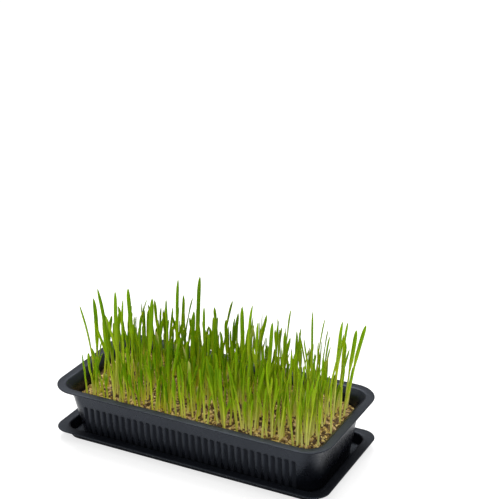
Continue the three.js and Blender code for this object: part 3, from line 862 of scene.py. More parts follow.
def drip_rings(trays):
    """Rings of the drip tray: outside up, round the flange's edge, inside down."""
    sheet = trays.sheet / MM
    top = trays.drip_height / MM
    shoulder_z = top - DRIP_SHOULDER
    inner_heel = max(DRIP_HEEL - sheet, LEAST_HEEL)
    wall_top = DRIP_FLANGE + DRIP_SHOULDER - sheet
    foot = DRIP_BASE_INSET + sheet
    outside = ((DRIP_BASE_INSET, DRIP_HEEL), (wall_top, shoulder_z))
    inside = ((wall_top + sheet, shoulder_z), (foot, sheet + inner_heel))
    points = wall_arc(DRIP_BASE_INSET + DRIP_HEEL, DRIP_HEEL, DRIP_HEEL, -90, 0, 5)
    points += [point_between(*outside, share) for share in DRIP_WALL_STOPS]
    points += wall_arc(DRIP_FLANGE, shoulder_z, sheet - DRIP_SHOULDER, 0, -90, 3)
    points += wall_arc(sheet / 2, top - sheet / 2, sheet / 2, -90, 90, 6)
    points += wall_arc(DRIP_FLANGE, shoulder_z, -DRIP_SHOULDER, -90, 0, 6)
    points += [point_between(*inside, share) for share in DRIP_WALL_STOPS]
    points += wall_arc(foot + inner_heel, sheet + inner_heel, inner_heel, 0, -90, 4)
    rings = []
    for inset, z in points:
        corner = lerp(DRIP_CORNER, DRIP_BASE_CORNER, inset / DRIP_BASE_INSET)
        half_x = trays.drip_length / MM / 2 - inset
        half_y = trays.drip_width / MM / 2 - inset
        loop = rounded_loop(half_x, half_y, corner, even_stops(20), even_stops(8), 12)
        rings.append([(x, y, z) for x, y in loop])
    return rings


def shoulder(trays, radius, wall_inset):
    """One face of the grow tray's shoulder: a bend inside the flange, and a slope down to the wall."""
    bend = wall_arc(RIM_FLANGE, trays.rim_height / MM - RIM_BEND, -radius, -90, -45, 6)
    inset, z = bend[-1]
    return bend, (wall_inset, z - (wall_inset - inset))


def wall_ends(trays):
    """Heights of the foot and the top of the grow tray's outer wall."""
    sheet = trays.sheet / MM
    top = shoulder(trays, RIM_BEND - sheet, WALL_TOP_INSET)[1][1]
    return sheet + BASE_HEEL, top


def outer_inset(trays, z):
    """Inset of the grow tray's outer wall at a height."""
    foot, top = wall_ends(trays)
    return lerp(BASE_INSET, WALL_TOP_INSET, (z - foot) / (top - foot))


def corner_centre(trays, z):
    """Distance of a corner's centre from the sides of the rim. The corners grow wider down the wall."""
    foot, top = wall_ends(trays)
    down = min(max((top - z) / (top - foot), 0.0), 1.0)
    return lerp(RIM_CORNER, BASE_INSET + BASE_CORNER, down)


def eased(before, corner, after, steps):
    """A bend from one point of a section to another, round the corner between them."""
    points = []
    for i in range(steps + 1):
        share = i / steps
        first = point_between(before, corner, share)
        second = point_between(corner, after, share)
        points.append(point_between(first, second, share))
    return points


def upright_loop(half_x, half_y, corner, stops, short_stops, corner_steps):
    """A rounded rectangle whose long sides keep the same stops at every height, on into its corners."""
    straight_x = half_x - corner
    straight_y = half_y - corner
    last = max(straight_x, stops[-1] + CORNER_CLEAR)
    long_side = []
    for x in [-last] + stops + [last]:
        over = max(abs(x) - straight_x, 0.0)
        long_side.append((x, straight_y + math.sqrt(corner ** 2 - over ** 2)))
    first = math.degrees(math.asin(max(last - straight_x, 0.0) / corner))
    turns = [math.radians(lerp(first, 90.0, i / corner_steps)) for i in range(1, corner_steps)]
    bends = [(straight_x + corner * math.sin(t), straight_y + corner * math.cos(t)) for t in turns]
    points = [(x, -y) for x, y in long_side]
    points += [(x, -y) for x, y in bends]
    points += [(half_x, s * straight_y) for s in short_stops]
    points += list(reversed(bends))
    points += list(reversed(long_side))
    points += [(-x, y) for x, y in bends]
    points += [(-half_x, -s * straight_y) for s in short_stops]
    points += [(-x, -y) for x, y in reversed(bends)]
    return points


def grow_rings(trays):
    """Rings of the grow tray: outside up, round the rim's edge, inside down."""
    sheet = trays.sheet / MM
    top = trays.rim_height / MM
    foot = sheet + BASE_HEEL
    low = [foot + FLUTE_END_STEP * i for i in range(1, FLUTE_END_STEPS)]
    high = [FLUTE_UPPER_END + FLUTE_END_STEP * i for i in range(FLUTE_END_STEPS)]
    levels = low + list(WALL_LEVELS) + high + [WALL_LAST]
    under_bend, under_wall = shoulder(trays, RIM_BEND - sheet, WALL_TOP_INSET)
    over_bend, over_wall = shoulder(trays, RIM_BEND, WALL_TOP_INSET + sheet)
    under_foot = (outer_inset(trays, SHOULDER_FOOT), SHOULDER_FOOT)
    under_top = (under_wall[0] - UNDER_EASE, under_wall[1] + UNDER_EASE)
    over_top = (over_wall[0] - OVER_EASE, over_wall[1] + OVER_EASE)
    over_foot = (under_foot[0] + sheet, SHOULDER_FOOT)
    points = wall_arc(BASE_INSET + BASE_HEEL, foot, BASE_HEEL, -90, 0, 5)
    points += [(outer_inset(trays, z), z) for z in levels]
    points += eased(under_foot, under_wall, under_top, 5)
    points += list(reversed(under_bend))
    points += wall_arc(sheet / 2, top - sheet / 2, sheet / 2, -90, 90, 6)
    points += over_bend
    points += eased(over_top, over_wall, over_foot, 6)
    points += [(outer_inset(trays, z) + sheet, z) for z in reversed(levels)]
    points += wall_arc(BASE_INSET + BASE_HEEL, foot, BASE_HEEL - sheet, 0, -90, 4)
    half_x = trays.rim_length / MM / 2
    half_y = trays.rim_width / MM / 2
    pitch = trays.flute_pitch / MM
    row = trays.flute_count * pitch / 2
    steps = trays.flute_count * FLUTE_STOPS
    stops = [lerp(-row, row, i / steps) for i in range(steps + 1)]
    rings = []
    for inset, z in points:
        corner = corner_centre(trays, z) - inset
        loop = upright_loop(half_x - inset, half_y - inset, corner, stops, even_stops(6), 14)
        rings.append([(x, y, z) for x, y in loop])
    return rings


def flute_tree():
    """Geometry Nodes: presses a row of upright flutes with round ends into the two long walls."""
    sizes = {
        "Count": "Int",
        "Pitch": "Float",
        "Width": "Float",
        "Depth": "Float",
        "Bottom": "Float",
        "Top": "Float",
        "Wall": "Float",
    }
    tree, start, end = geometry_tree("Pressed Flutes", sizes)
    place = position_parts(tree)
    x = out(place, "X")
    y = out(place, "Y")
    z = out(place, "Z")
    pitch = out(start, "Pitch")
    width = out(start, "Width")
    number = math_node(tree, "ROUND", math_node(tree, "DIVIDE", x, pitch))
    aside = math_node(tree, "SUBTRACT", x, math_node(tree, "MULTIPLY", number, pitch))
    half = math_node(tree, "MULTIPLY", width, 0.5)
    above = math_node(tree, "SUBTRACT", z, math_node(tree, "SUBTRACT", out(start, "Top"), half))
    below = math_node(tree, "SUBTRACT", math_node(tree, "ADD", out(start, "Bottom"), half), z)
    over = math_node(tree, "MAXIMUM", math_node(tree, "MAXIMUM", above, below), 0.0)
    feeds = {"Vector": vector_of(tree, X=aside, Y=over)}
    distance = out(put(tree, "ShaderNodeVectorMath", feeds, operation="LENGTH"), "Value")
    inner = math_node(tree, "MULTIPLY", width, 0.3)
    outer = math_node(tree, "MULTIPLY", width, 0.7)
    pressed = map_range(tree, distance, inner, outer, 1.0, 0.0, interpolation_type="SMOOTHSTEP")
    row = math_node(tree, "MULTIPLY", math_node(tree, "MULTIPLY", out(start, "Count"), pitch), 0.5)
    in_row = math_node(tree, "LESS_THAN", math_node(tree, "ABSOLUTE", x), row)
    on_wall = math_node(tree, "GREATER_THAN", math_node(tree, "ABSOLUTE", y), out(start, "Wall"))
    share = math_node(tree, "MULTIPLY", math_node(tree, "MULTIPLY", in_row, on_wall), pressed)
    inward = math_node(tree, "MULTIPLY", math_node(tree, "SIGN", y), -1.0)
    shift = math_node(tree, "MULTIPLY", math_node(tree, "MULTIPLY", share, inward), out(start, "Depth"))
    marked = keep_value(tree, out(start, "Geometry"), "pressed", share)
    moved = put(tree, "GeometryNodeSetPosition", {"Geometry": marked, "Offset": vector_of(tree, Y=shift)})
    close_tree(tree, start, end, out(moved))
    return tree


class WHEATGRASS_OT_drip_tray(bpy.types.Operator):
    """Builds the shallow drip tray"""

    bl_idname = "wheatgrass.drip_tray"
    bl_label = "Drip Tray"

    def execute(self, context):
        trays = context.scene.wheatgrass_trays
        mesh = tray_mesh("drip_tray_sheet", drip_rings(trays), [])
        shade(mesh, TRAY_CREASE)
        mesh.materials.append(plastic_material(trays))
        finish_piece(new_piece("drip_tray_sheet", mesh), "black_plastic", "drip_tray")
        return {"FINISHED"}


class WHEATGRASS_OT_grow_tray(bpy.types.Operator):
    """Builds the grow tray with its flutes and drain holes"""

    bl_idname = "wheatgrass.grow_tray"
    bl_label = "Grow Tray"

    def execute(self, context):
        trays = context.scene.wheatgrass_trays
        drains = []
        for i in range(DRAIN_COLUMNS):
            for j in range(DRAIN_ROWS):
                x = (i - (DRAIN_COLUMNS - 1) / 2) * DRAIN_PITCH_X
                y = (j - (DRAIN_ROWS - 1) / 2) * DRAIN_PITCH_Y
                drains.append((x, y))
        mesh = tray_mesh("grow_tray_sheet", grow_rings(trays), drains)
        piece = new_piece("grow_tray_sheet", mesh)
        sizes = {
            "Count": trays.flute_count,
            "Pitch": trays.flute_pitch,
            "Width": trays.flute_width,
            "Depth": trays.flute_depth,
            "Bottom": trays.flute_bottom,
            "Top": trays.flute_top,
            "Wall": trays.rim_width / 2 - FLUTE_REACH * MM,
            "Material": plastic_material(trays),
        }
        run_tree(piece, flute_tree(), sizes)
        shade(piece.data, TRAY_CREASE)
        finish_piece(piece, "black_plastic", "grow_tray")
        return {"FINISHED"}


def hollow_at(hollow, x, y):
    """How much of a hollow is felt at a place, from 0 to 1."""
    return math.exp(-((x - hollow[0]) ** 2 + (y - hollow[1]) ** 2) / hollow[3] ** 2)


def medium_height(x, y):
    """Smooth height of the medium at a place: a low mound with two hollows."""
    across = (2 * x / RIM_LENGTH) ** 2 + (2 * y / RIM_WIDTH) ** 2
    z = MEDIUM_LEVEL + MEDIUM_MOUND * (1 - across)
    for hollow in HOLLOWS:
        z -= hollow[2] * hollow_at(hollow, x, y)
    return z


def crumbly_height(x, y):
    """Height of the medium with its clods and crumbs."""
    clods = noise.fractal(Vector((x / CLOD_SIZE, y / CLOD_SIZE, 3.1)), 1.0, 2.0, 2)
    crumbs = noise.fractal(Vector((x / CRUMB_SIZE, y / CRUMB_SIZE, 8.7)), 0.8, 2.0, 3)
    return medium_height(x, y) + CLOD_HEIGHT * clods + CRUMB_HEIGHT * crumbs


def drawn_in(x, y, half_x, half_y, corner):
    """The nearest point on a smaller rounded rectangle."""
    over_x = abs(x) - (half_x - corner)
    over_y = abs(y) - (half_y - corner)
    if over_x > 0 and over_y > 0:
        share = corner / math.hypot(over_x, over_y)
        near_x = half_x - corner + over_x * share
        near_y = half_y - corner + over_y * share
    elif half_x - abs(x) < half_y - abs(y):
        near_x = half_x
        near_y = abs(y)
    else:
        near_x = abs(x)
        near_y = half_y
    return math.copysign(near_x, x), math.copysign(near_y, y)


def bed_top(half_x, half_y, corner):
    """Points and faces of the medium's crumbly top, row by row, and the loop of points round its edge."""
    points = []
    for j in range(BED_ROWS + 1):
        along = 2 * j / BED_ROWS - 1
        y = half_y * (BED_CROWDING * math.sin(math.pi / 2 * along) + (1 - BED_CROWDING) * along)
        over = max(abs(y) - (half_y - corner), 0.0)
        reach = half_x - corner + math.sqrt(max(corner ** 2 - over ** 2, 0.0))
        for i in range(BED_COLUMNS + 1):
            x = reach * (2 * i / BED_COLUMNS - 1)
            points.append((x, y, crumbly_height(x, y)))
    stride = BED_COLUMNS + 1
    faces = []
    for j in range(BED_ROWS):
        for i in range(BED_COLUMNS):
            low = j * stride + i
            faces.append((low, low + 1, low + stride + 1, low + stride))
    edge = list(range(stride))
    edge += [j * stride + BED_COLUMNS for j in range(1, BED_ROWS + 1)]
    edge += [BED_ROWS * stride + i for i in range(BED_COLUMNS - 1, -1, -1)]
    edge += [j * stride for j in range(BED_ROWS - 1, 0, -1)]
    return points, faces, edge


def open_share(x, y, half_x, half_y, corner):
    """How open a place of the medium's top is, from 0 at the tray's wall to 1."""
    free = min(half_x - abs(x), half_y - abs(y))
    corner_x = abs(x) - (half_x - corner)
    corner_y = abs(y) - (half_y - corner)
    if corner_x > 0 and corner_y > 0:
        free = corner - math.hypot(corner_x, corner_y)
    return smooth_step(OPEN_FROM, OPEN_TO, free)


def bed_mesh(name, trays):
    """The medium as a closed body: a crumbly top over the inside of the grow tray."""
    top_sides = (RIM_LENGTH / 2 - BED_INSET, RIM_WIDTH / 2 - BED_INSET)
    top_corner = corner_centre(trays, MEDIUM_LEVEL) - BED_INSET
    points, faces, edge = bed_top(*top_sides, top_corner)
    room = [open_share(x, y, *top_sides, top_corner) for x, y, z in points]
    gap = trays.sheet / MM + BED_GAP
    levels = [(z, outer_inset(trays, z) + gap) for z in BED_LEVELS]
    levels.append((BED_FOOT, BASE_INSET + BASE_HEEL + gap))
    upper = edge
    for level, inset in levels:
        lower = []
        half_x = RIM_LENGTH / 2 - inset
        half_y = RIM_WIDTH / 2 - inset
        corner = corner_centre(trays, level) - inset
        for k in edge:
            x, y, z = points[k]
            lower.append(len(points))
            points.append(drawn_in(x, y, half_x, half_y, corner) + (min(level, z - BED_LIP),))
        for k in range(len(edge)):
            after = (k + 1) % len(edge)
            faces.append((upper[k], lower[k], lower[after], upper[after]))
        upper = lower
    faces.append(tuple(reversed(upper)))
    mesh = bpy.data.meshes.new(name)
    mesh.from_pydata([Vector(p) * MM for p in points], [], faces)
    room += [0.0] * (len(points) - len(room))
    mesh.attributes.new("open_top", "FLOAT", "POINT").data.foreach_set("value", room)
    face_outwards(mesh)
    mesh.validate()
    return mesh


def chip_shape(tree, roundness, variant):
    """An uneven chip of a few faces, as an instance."""
    ball = put(tree, "GeometryNodeMeshIcoSphere", {"Radius": 1.0, "Subdivisions": roundness})
    place = out(tree.nodes.new("GeometryNodeInputPosition"))
    feeds = {"Vector": place, "W": 7.3 * variant, "Scale": 0.9}
    uneven = put(tree, "ShaderNodeTexNoise", feeds, noise_dimensions="4D")
    feeds = {"Vector": place, "Scale": map_range(tree, out(uneven, "Fac"), 0.25, 0.75, 0.6, 1.15)}
    moved = out(put(tree, "ShaderNodeVectorMath", feeds, operation="SCALE"), "Vector")
    chip = put(tree, "GeometryNodeSetPosition", {"Geometry": out(ball, "Mesh"), "Position": moved})
    return out(put(tree, "GeometryNodeGeometryToInstance", {"Geometry": out(chip)}))


def scatter_tree(name, roundness, variants):
    """Geometry Nodes: strews chips over the medium's open top, each turned, sized and toned by chance."""
    sizes = {
        "Spacing": "Float",
        "Density": "Float",
        "Smallest": "Vector",
        "Largest": "Vector",
        "Tilt": "Float",
        "Sink": "Float",
        "Seed": "Int",
    }
    tree, start, end = geometry_tree(name, sizes)
    seed = out(start, "Seed")
    turn_seed = math_node(tree, "ADD", seed, 1.0)
    shape_seed = math_node(tree, "ADD", seed, 2.0)
    size_seed = math_node(tree, "ADD", seed, 3.0)
    tone_seed = math_node(tree, "ADD", seed, 4.0)
    feeds = {
        "Mesh": out(start, "Geometry"),
        "Distance Min": out(start, "Spacing"),
        "Density Max": out(start, "Density"),
        "Density Factor": attribute_of(tree, "open_top"),
        "Seed": seed,
    }
    strewn = put(tree, "GeometryNodeDistributePointsOnFaces", feeds, distribute_method="POISSON")
    covered = math_node(tree, "LESS_THAN", attribute_of(tree, "open_top"), 0.5)
    feeds = {"Geometry": out(strewn, "Points"), "Selection": covered}
    kept = put(tree, "GeometryNodeDeleteGeometry", feeds)
    shapes = tree.nodes.new("GeometryNodeJoinGeometry")
    for k in range(variants):
        tree.links.new(chip_shape(tree, roundness, k), shapes.inputs["Geometry"])
    tilt = out(start, "Tilt")
    back = math_node(tree, "MULTIPLY", tilt, -1.0)
    lowest = vector_of(tree, X=back, Y=back, Z=0.0)
    highest = vector_of(tree, X=tilt, Y=tilt, Z=2 * math.pi)
    euler = random_value(tree, "FLOAT_VECTOR", lowest, highest, turn_seed)
    smallest = out(start, "Smallest")
    feeds = {
        "Points": out(kept),
        "Instance": out(shapes),
        "Pick Instance": True,
        "Instance Index": random_value(tree, "INT", 0, variants - 1, shape_seed),
        "Rotation": out(put(tree, "FunctionNodeEulerToRotation", {"Euler": euler})),
        "Scale": random_value(tree, "FLOAT_VECTOR", smallest, out(start, "Largest"), size_seed),
    }
    chips = put(tree, "GeometryNodeInstanceOnPoints", feeds)
    lift = math_node(tree, "MULTIPLY", out(start, "Sink"), -1.0)
    feeds = {"Instances": out(chips), "Translation": vector_of(tree, Z=lift), "Local Space": False}
    sunk = put(tree, "GeometryNodeTranslateInstances", feeds)
    tone = random_value(tree, "FLOAT", 0.0, 1.0, tone_seed)
    close_tree(tree, start, end, keep_value(tree, out(sunk), "tone", tone, "INSTANCE"))
    return tree


class WHEATGRASS_OT_medium(bpy.types.Operator):
    """Builds the crumbly bed and strews flakes and seed husks over it"""

    bl_idname = "wheatgrass.medium"
    bl_label = "Growing Medium"

    def execute(self, context):
        medium = context.scene.wheatgrass_medium
        bed = new_piece("medium_bed", bed_mesh("medium_bed", context.scene.wheatgrass_trays))
        bed.data.shade_smooth()
        flakes = new_piece("medium_flakes", bed.data.copy())
        small = medium.flake_smallest
        large = medium.flake_largest
        sizes = {
            "Spacing": medium.flake_spacing,
            "Density": STREWN_SHARE / medium.flake_spacing ** 2,
            "Smallest": (small, 0.7 * small, 0.35 * small),
            "Largest": (large, 0.75 * large, 0.55 * large),
            "Tilt": FLAKE_TILT,
            "Sink": 0.0,
            "Seed": medium.flake_seed,
            "Material": flake_material(medium),
        }
        run_tree(flakes, scatter_tree("Strewn Flakes", 1, 4), sizes)
        husks = new_piece("medium_husks", bed.data.copy())
        half = Vector((medium.husk_length, medium.husk_width, medium.husk_width)) / 2
        sizes = {
            "Spacing": medium.husk_spacing,
            "Density": STREWN_SHARE / medium.husk_spacing ** 2,
            "Smallest": tuple(0.85 * half),
            "Largest": tuple(1.1 * half),
            "Tilt": HUSK_TILT,
            "Sink": -HUSK_LIFT * half.z,
            "Seed": medium.husk_seed,
            "Material": husk_material(medium),
        }
        run_tree(husks, scatter_tree("Strewn Husks", 2, 2), sizes)
        husks.data.shade_smooth()
        bed.data.materials.append(bed_material(medium))
        finish_piece(bed, "medium", "growing_medium")
        finish_piece(flakes, "medium")
        finish_piece(husks, "medium")
        return {"FINISHED"}


def draws(seed):
    """Seeded draws between 0 and 1, by the same rule as in the solids' source."""
    state = seed & WORD

    def draw():
        nonlocal state
        state = (state + DRAW_STEP) & WORD
        mixed = ((state ^ (state >> 15)) * (1 | state)) & WORD
        mixed = ((mixed + (mixed ^ (mixed >> 7)) * (61 | mixed)) ^ mixed) & WORD
        return (mixed ^ (mixed >> 14)) / (WORD + 1)

    return draw


def net_knot(i, j):
    """A knot of the loose net that the bunches fill."""
    draw = draws(NET_SEED + j * (BUNCH_COLUMNS + 1) + i)
    free_x = NET_JITTER_X if 0 < i < BUNCH_COLUMNS else 0.0
    free_y = NET_JITTER_Y if 0 < j < BUNCH_ROWS else 0.0
    x = (i - BUNCH_COLUMNS / 2) * BUNCH_PITCH_X + (2 * draw() - 1) * free_x
    y = (j - BUNCH_ROWS / 2) * BUNCH_PITCH_Y + (2 * draw() - 1) * free_y
    return Vector((x, y))


def field_corners(place, inset):
    """Corners of a bunch's field, drawn in from its edges."""
    corners = []
    for step_x, step_y in ((0, 0), (1, 0), (1, 1), (0, 1)):
        knot = net_knot(place["column"] + step_x, place["row"] + step_y)
        corners.append(knot + inset * Vector((1 - 2 * step_x, 1 - 2 * step_y)))
    return corners


def vigour_at(x, y):
    """How well the grass grows at a place, from 0 to 1."""
    return 1 - max(hollow_at(hollow, x, y) for hollow in HOLLOWS)


def bunch_places():
    """The fields of the bunches."""
    places = []
    for row in range(BUNCH_ROWS):
        for column in range(BUNCH_COLUMNS):
            draw = draws(BUNCH_SEED + row * BUNCH_COLUMNS + column)
            x = (column + 0.5 - BUNCH_COLUMNS / 2) * BUNCH_PITCH_X
            y = (row + 0.5 - BUNCH_ROWS / 2) * BUNCH_PITCH_Y
            places.append(
                {
                    "column": column,
                    "row": row,
                    "x": x,
                    "y": y,
                    "z": medium_height(x, y),
                    "vigour": vigour_at(x, y),
                    "start_x": draw(),
                    "start_y": draw(),
                }
            )
    return places


def shoot_axis(shoot, rise):
    """A point along a shoot, in millimetres."""
    share = max(rise, 0.0) / shoot["height"]
    away = shoot["lean"] * rise + shoot["bend"] * shoot["height"] * share * share
    x = shoot["x"] + away * math.cos(shoot["towards"])
    y = shoot["y"] + away * math.sin(shoot["towards"])
    return Vector((x, y, shoot["z"] + rise))


def shoot_reach(shoot, rise):
    """Half the room that a shoot takes up at a height."""
    return STEM_REACH if rise < SHEATH_TOP * shoot["height"] else LEAF_REACH * shoot["width"]


def stand_clear(a, b, crowding):
    """Whether two shoots stay clear of each other at every height that they share."""
    spread = sum((abs(s["lean"]) + abs(s["bend"])) * s["height"] for s in (a, b))
    if math.hypot(a["x"] - b["x"], a["y"] - b["y"]) > spread + 2 * LEAF_WIDEST:
        return True
    top = min(a["z"] + a["height"], b["z"] + b["height"])
    z = max(a["z"], b["z"])
    while z < top:
        p = shoot_axis(a, z - a["z"])
        q = shoot_axis(b, z - b["z"])
        room = shoot_reach(a, z - a["z"]) + shoot_reach(b, z - b["z"]) + SHOOT_CLEAR
        if math.hypot(p.x - q.x, p.y - q.y) < crowding * room:
            return False
        z += CHECK_STEP
    return True


def over_trays(shoot):
    """Whether the tip stays over the trays."""
    tip = shoot_axis(shoot, shoot["height"])
    return abs(tip.x) < RIM_LENGTH / 2 - PLAN_MARGIN and abs(tip.y) < RIM_WIDTH / 2 - PLAN_MARGIN


def drawn_shoot(foot_x, foot_y, z, along, vigour, draw):
    """One drawn shoot on its foot."""
    tall = SHOOT_TALL_GAIN if draw() < SHOOT_TALL_SHARE else 1.0
    plain = lerp(SHOOT_SHORTEST, SHOOT_LONGEST, draw())
    right_gain = 1 + SHOOT_RIGHT_GAIN * 2 * along / RIM_LENGTH
    return {
        "x": foot_x,
        "y": foot_y,
        "z": z,
        "height": plain * tall * right_gain * lerp(SHOOT_STUNTED, 1.0, vigour),
        "lean": SHOOT_LEAN * draw(),
        "bend": SHOOT_BEND * draw(),
        "towards": 2 * math.pi * draw(),
        "face": math.pi * draw(),
        "width": lerp(LEAF_NARROWEST, LEAF_WIDEST, draw()),
        "slim": lerp(1.0, SLIMMEST, smooth_step(SLIM_FROM, SLIM_TO, foot_x)),
        "twist": 1.0,
    }


def foot_on(place, share_x, share_y):
    """A place in a bunch's field, by its shares of the field's two sides."""
    near_left, near_right, far_right, far_left = field_corners(place, ROOT_INSET + SHOOT_MARGIN)
    return near_left.lerp(near_right, share_x).lerp(far_left.lerp(far_right, share_x), share_y)


def bunch_shoot(place, index, seed):
    """A drawn shoot of a bunch, at its own place in the field."""
    share_x = (place["start_x"] + index * SCATTER_X) % 1
    share_y = (place["start_y"] + index * SCATTER_Y) % 1
    foot = foot_on(place, share_x, share_y)
    return drawn_shoot(foot.x, foot.y, place["z"], place["x"], place["vigour"], draws(seed))


def standouts_of(place):
    """The shoots of a bunch that are set out one by one."""
    shoots = []
    for column, row, share_x, share_y, height, tilt, turn, width, arch in STANDOUTS:
        if column == place["column"] and row == place["row"]:
            foot = foot_on(place, share_x, share_y)
            shoots.append(
                {
                    "x": foot.x,
                    "y": foot.y,
                    "z": place["z"],
                    "height": height,
                    "lean": STANDOUT_LEAN * tilt + arch,
                    "bend": (1 - STANDOUT_LEAN) * tilt - arch,
                    "towards": STANDOUT_SIDE,
                    "face": STANDOUT_SIDE + turn,
                    "width": width,
                    "slim": 1.0,
                    "twist": STANDOUT_TWIST,
                }
            )
    return shoots


def thickness_at(x):
    """How thick the stand is along the tray: it thins out to the left."""
    return 1 - SHOOT_THINNING * (0.5 - x / RIM_LENGTH)


def room_for(shoot, bunches, own):
    """Whether a shoot of a bunch stands clear of all the others."""
    for bunch in bunches:
        crowding = SHOOT_CROWDING if bunch is own else 1.0
        if not all(stand_clear(shoot, other, crowding) for other in bunch):
            return False
    return over_trays(shoot)


def grow_shoots(places):
    """The shoots of the solids, bunch by bunch."""
    bunches = [standouts_of(place) for place in places]
    for k, place in enumerate(places):
        own = bunches[k]
        wanted = math.floor(SHOOTS * place["vigour"] * thickness_at(place["x"]) + 0.5)
        for n in range(len(own), wanted):
            for t in range(SHOOT_TRIES):
                shoot = bunch_shoot(place, n, SHOOT_SEED + (k * SHOOTS + n) * SHOOT_TRIES + t)
                if room_for(shoot, bunches, own):
                    own.append(shoot)
                    break
    return bunches


def infill_feet(tries):
    """Where infill shoots are tried: evenly over the bed, and in rows along its front and right edges."""
    half_x = RIM_LENGTH / 2 - BED_INSET - INFILL_MARGIN
    half_y = RIM_WIDTH / 2 - BED_INSET - INFILL_MARGIN
    feet = []
    for n in range(tries):
        x = half_x * (2 * ((INFILL_START_X + n * SCATTER_X) % 1) - 1)
        y = half_y * (2 * ((INFILL_START_Y + n * SCATTER_Y) % 1) - 1)
        feet.append((x, y))
    for n in range(math.floor(2 * (half_x - EDGE_END) / EDGE_PITCH)):
        draw = draws(EDGE_SEED + n)
        x = EDGE_END - half_x + EDGE_PITCH * (n + draw())
        feet.append((x, lerp(EDGE_INNER, -EDGE_OUTER, draw()) - half_y))
    for n in range(math.floor(2 * (half_y - EDGE_END) / SIDE_PITCH)):
        draw = draws(SIDE_SEED + n)
        y = EDGE_END - half_y + SIDE_PITCH * (n + draw())
        feet.append((half_x + lerp(-EDGE_INNER, EDGE_OUTER, draw()), y))
    return feet


def grow_infill(places, bunches, tries):
    """Shoots in the gaps between the bunches, each given to the bunch that it stands nearest to."""
    everything = [shoot for bunch in bunches for shoot in bunch]
    for n, (x, y) in enumerate(infill_feet(tries)):
        draw = draws(INFILL_SEED + n)
        vigour = vigour_at(x, y)
        shoot = drawn_shoot(x, y, medium_height(x, y), x, vigour, draw)
        shoot["height"] *= INFILL_HEIGHT
        chance = vigour * thickness_at(x) * smooth_step(INFILL_BARE, INFILL_FULL, x)
        chance *= lerp(1.0, INFILL_RIGHT_SHARE, smooth_step(INFILL_RIGHT_FROM, INFILL_RIGHT_TO, x))
        if draw() > chance or not over_trays(shoot):
            continue
        if not all(stand_clear(shoot, other, INFILL_CROWDING) for other in everything):
            continue
        k = min(range(len(places)), key=lambda i: (places[i]["x"] - x) ** 2 + (places[i]["y"] - y) ** 2)
        if bunches[k]:
            bunches[k].append(shoot)
            everything.append(shoot)


class ShootLines:
    """Centre lines of the sheaths and leaves of a bunch, with what the grass tree reads at each point."""

    def __init__(self):
        self.points = []
        self.edges = []
        self.half_width = []
        self.facing = []
        self.grown = []
        self.tone = []
        self.dry = []
        self.leafy = []

    def add(self, line, shoot_values, leafy):
        """One centre line, whose points have a place, half a width, a facing angle and a growth share."""
        first = len(self.points)
        for place, half_width, angle, grown in line:
            self.points.append(place * MM)
            self.half_width.append(half_width * MM)
            self.facing.append((math.cos(angle), math.sin(angle), 0.0))
            self.grown.append(grown)
            self.tone.append(shoot_values[0])
            self.dry.append(shoot_values[1])
            self.leafy.append(leafy)
        self.edges += [(first + i, first + i + 1) for i in range(len(line) - 1)]

    def mesh(self, name):
        """The lines as a mesh of edges with attributes."""
        mesh = bpy.data.meshes.new(name)
        mesh.from_pydata(self.points, self.edges, [])
        for label in ("half_width", "grown", "tone", "dry", "leafy"):
            made = mesh.attributes.new(label, "FLOAT", "POINT")
            made.data.foreach_set("value", getattr(self, label))
        facing = mesh.attributes.new("facing", "FLOAT_VECTOR", "POINT")
        facing.data.foreach_set("vector", [value for vector in self.facing for value in vector])
        return mesh


def leaf_half_width(share, start, broadest):
    """Half the width of a leaf along its length: an even ribbon with a short point."""
    widened = lerp(start, broadest, smooth_step(0.0, 0.32, share))
    over = max(share - LEAF_POINT, 0.0) / (1 - LEAF_POINT)
    return max(widened * max(1 - over ** 2.3, 0.0) ** 0.65, LEAF_FINEST)


def facing_of(shoot):
    """The direction that a shoot's leaves are broad in."""
    return Vector((math.cos(shoot["face"]), math.sin(shoot["face"]), 0.0))


def sheath_line(shoot, sheath_top):
    """Centre line of a shoot's round sheath, from its root up."""
    height = shoot["height"]
    rises = (-SHOOT_SUNK - ROOT_COVER, 0.5, 0.5 * sheath_top * height, sheath_top * height)
    line = []
    for rise, radius in zip(rises, SHEATH_RADII):
        half = radius * STEM_WIDTH / 2
        line.append((shoot_axis(shoot, rise), half, shoot["face"], max(rise, 0.0) / height))
    return line


def main_leaf_line(shoot, first, draw):
    """Centre line of a shoot's own leaf, with a drawn turn, sway and droop."""
    turn = lerp(-LEAF_TURN, LEAF_TURN, draw())
    twist = (turn + math.copysign(LEAF_LEAST_TURN, turn)) * shoot["twist"]
    sway = lerp(-LEAF_SWAY, LEAF_SWAY, draw())
    droop = draw() ** 4 * LEAF_DROOP
    broadest = shoot["slim"] * shoot["width"]
    line = []
    for share in LEAF_STOPS:
        rise = lerp(first, 1.0, share) * shoot["height"]
        aside = sway * math.sin(3.1 * share) + droop * max(share - 0.5, 0.0) ** 2
        half = leaf_half_width(share, LEAF_FOOT * STEM_WIDTH, broadest / 2)
        place = shoot_axis(shoot, rise) + facing_of(shoot) * aside
        line.append((place, half, shoot["face"] + twist * share, rise / shoot["height"]))
    return line


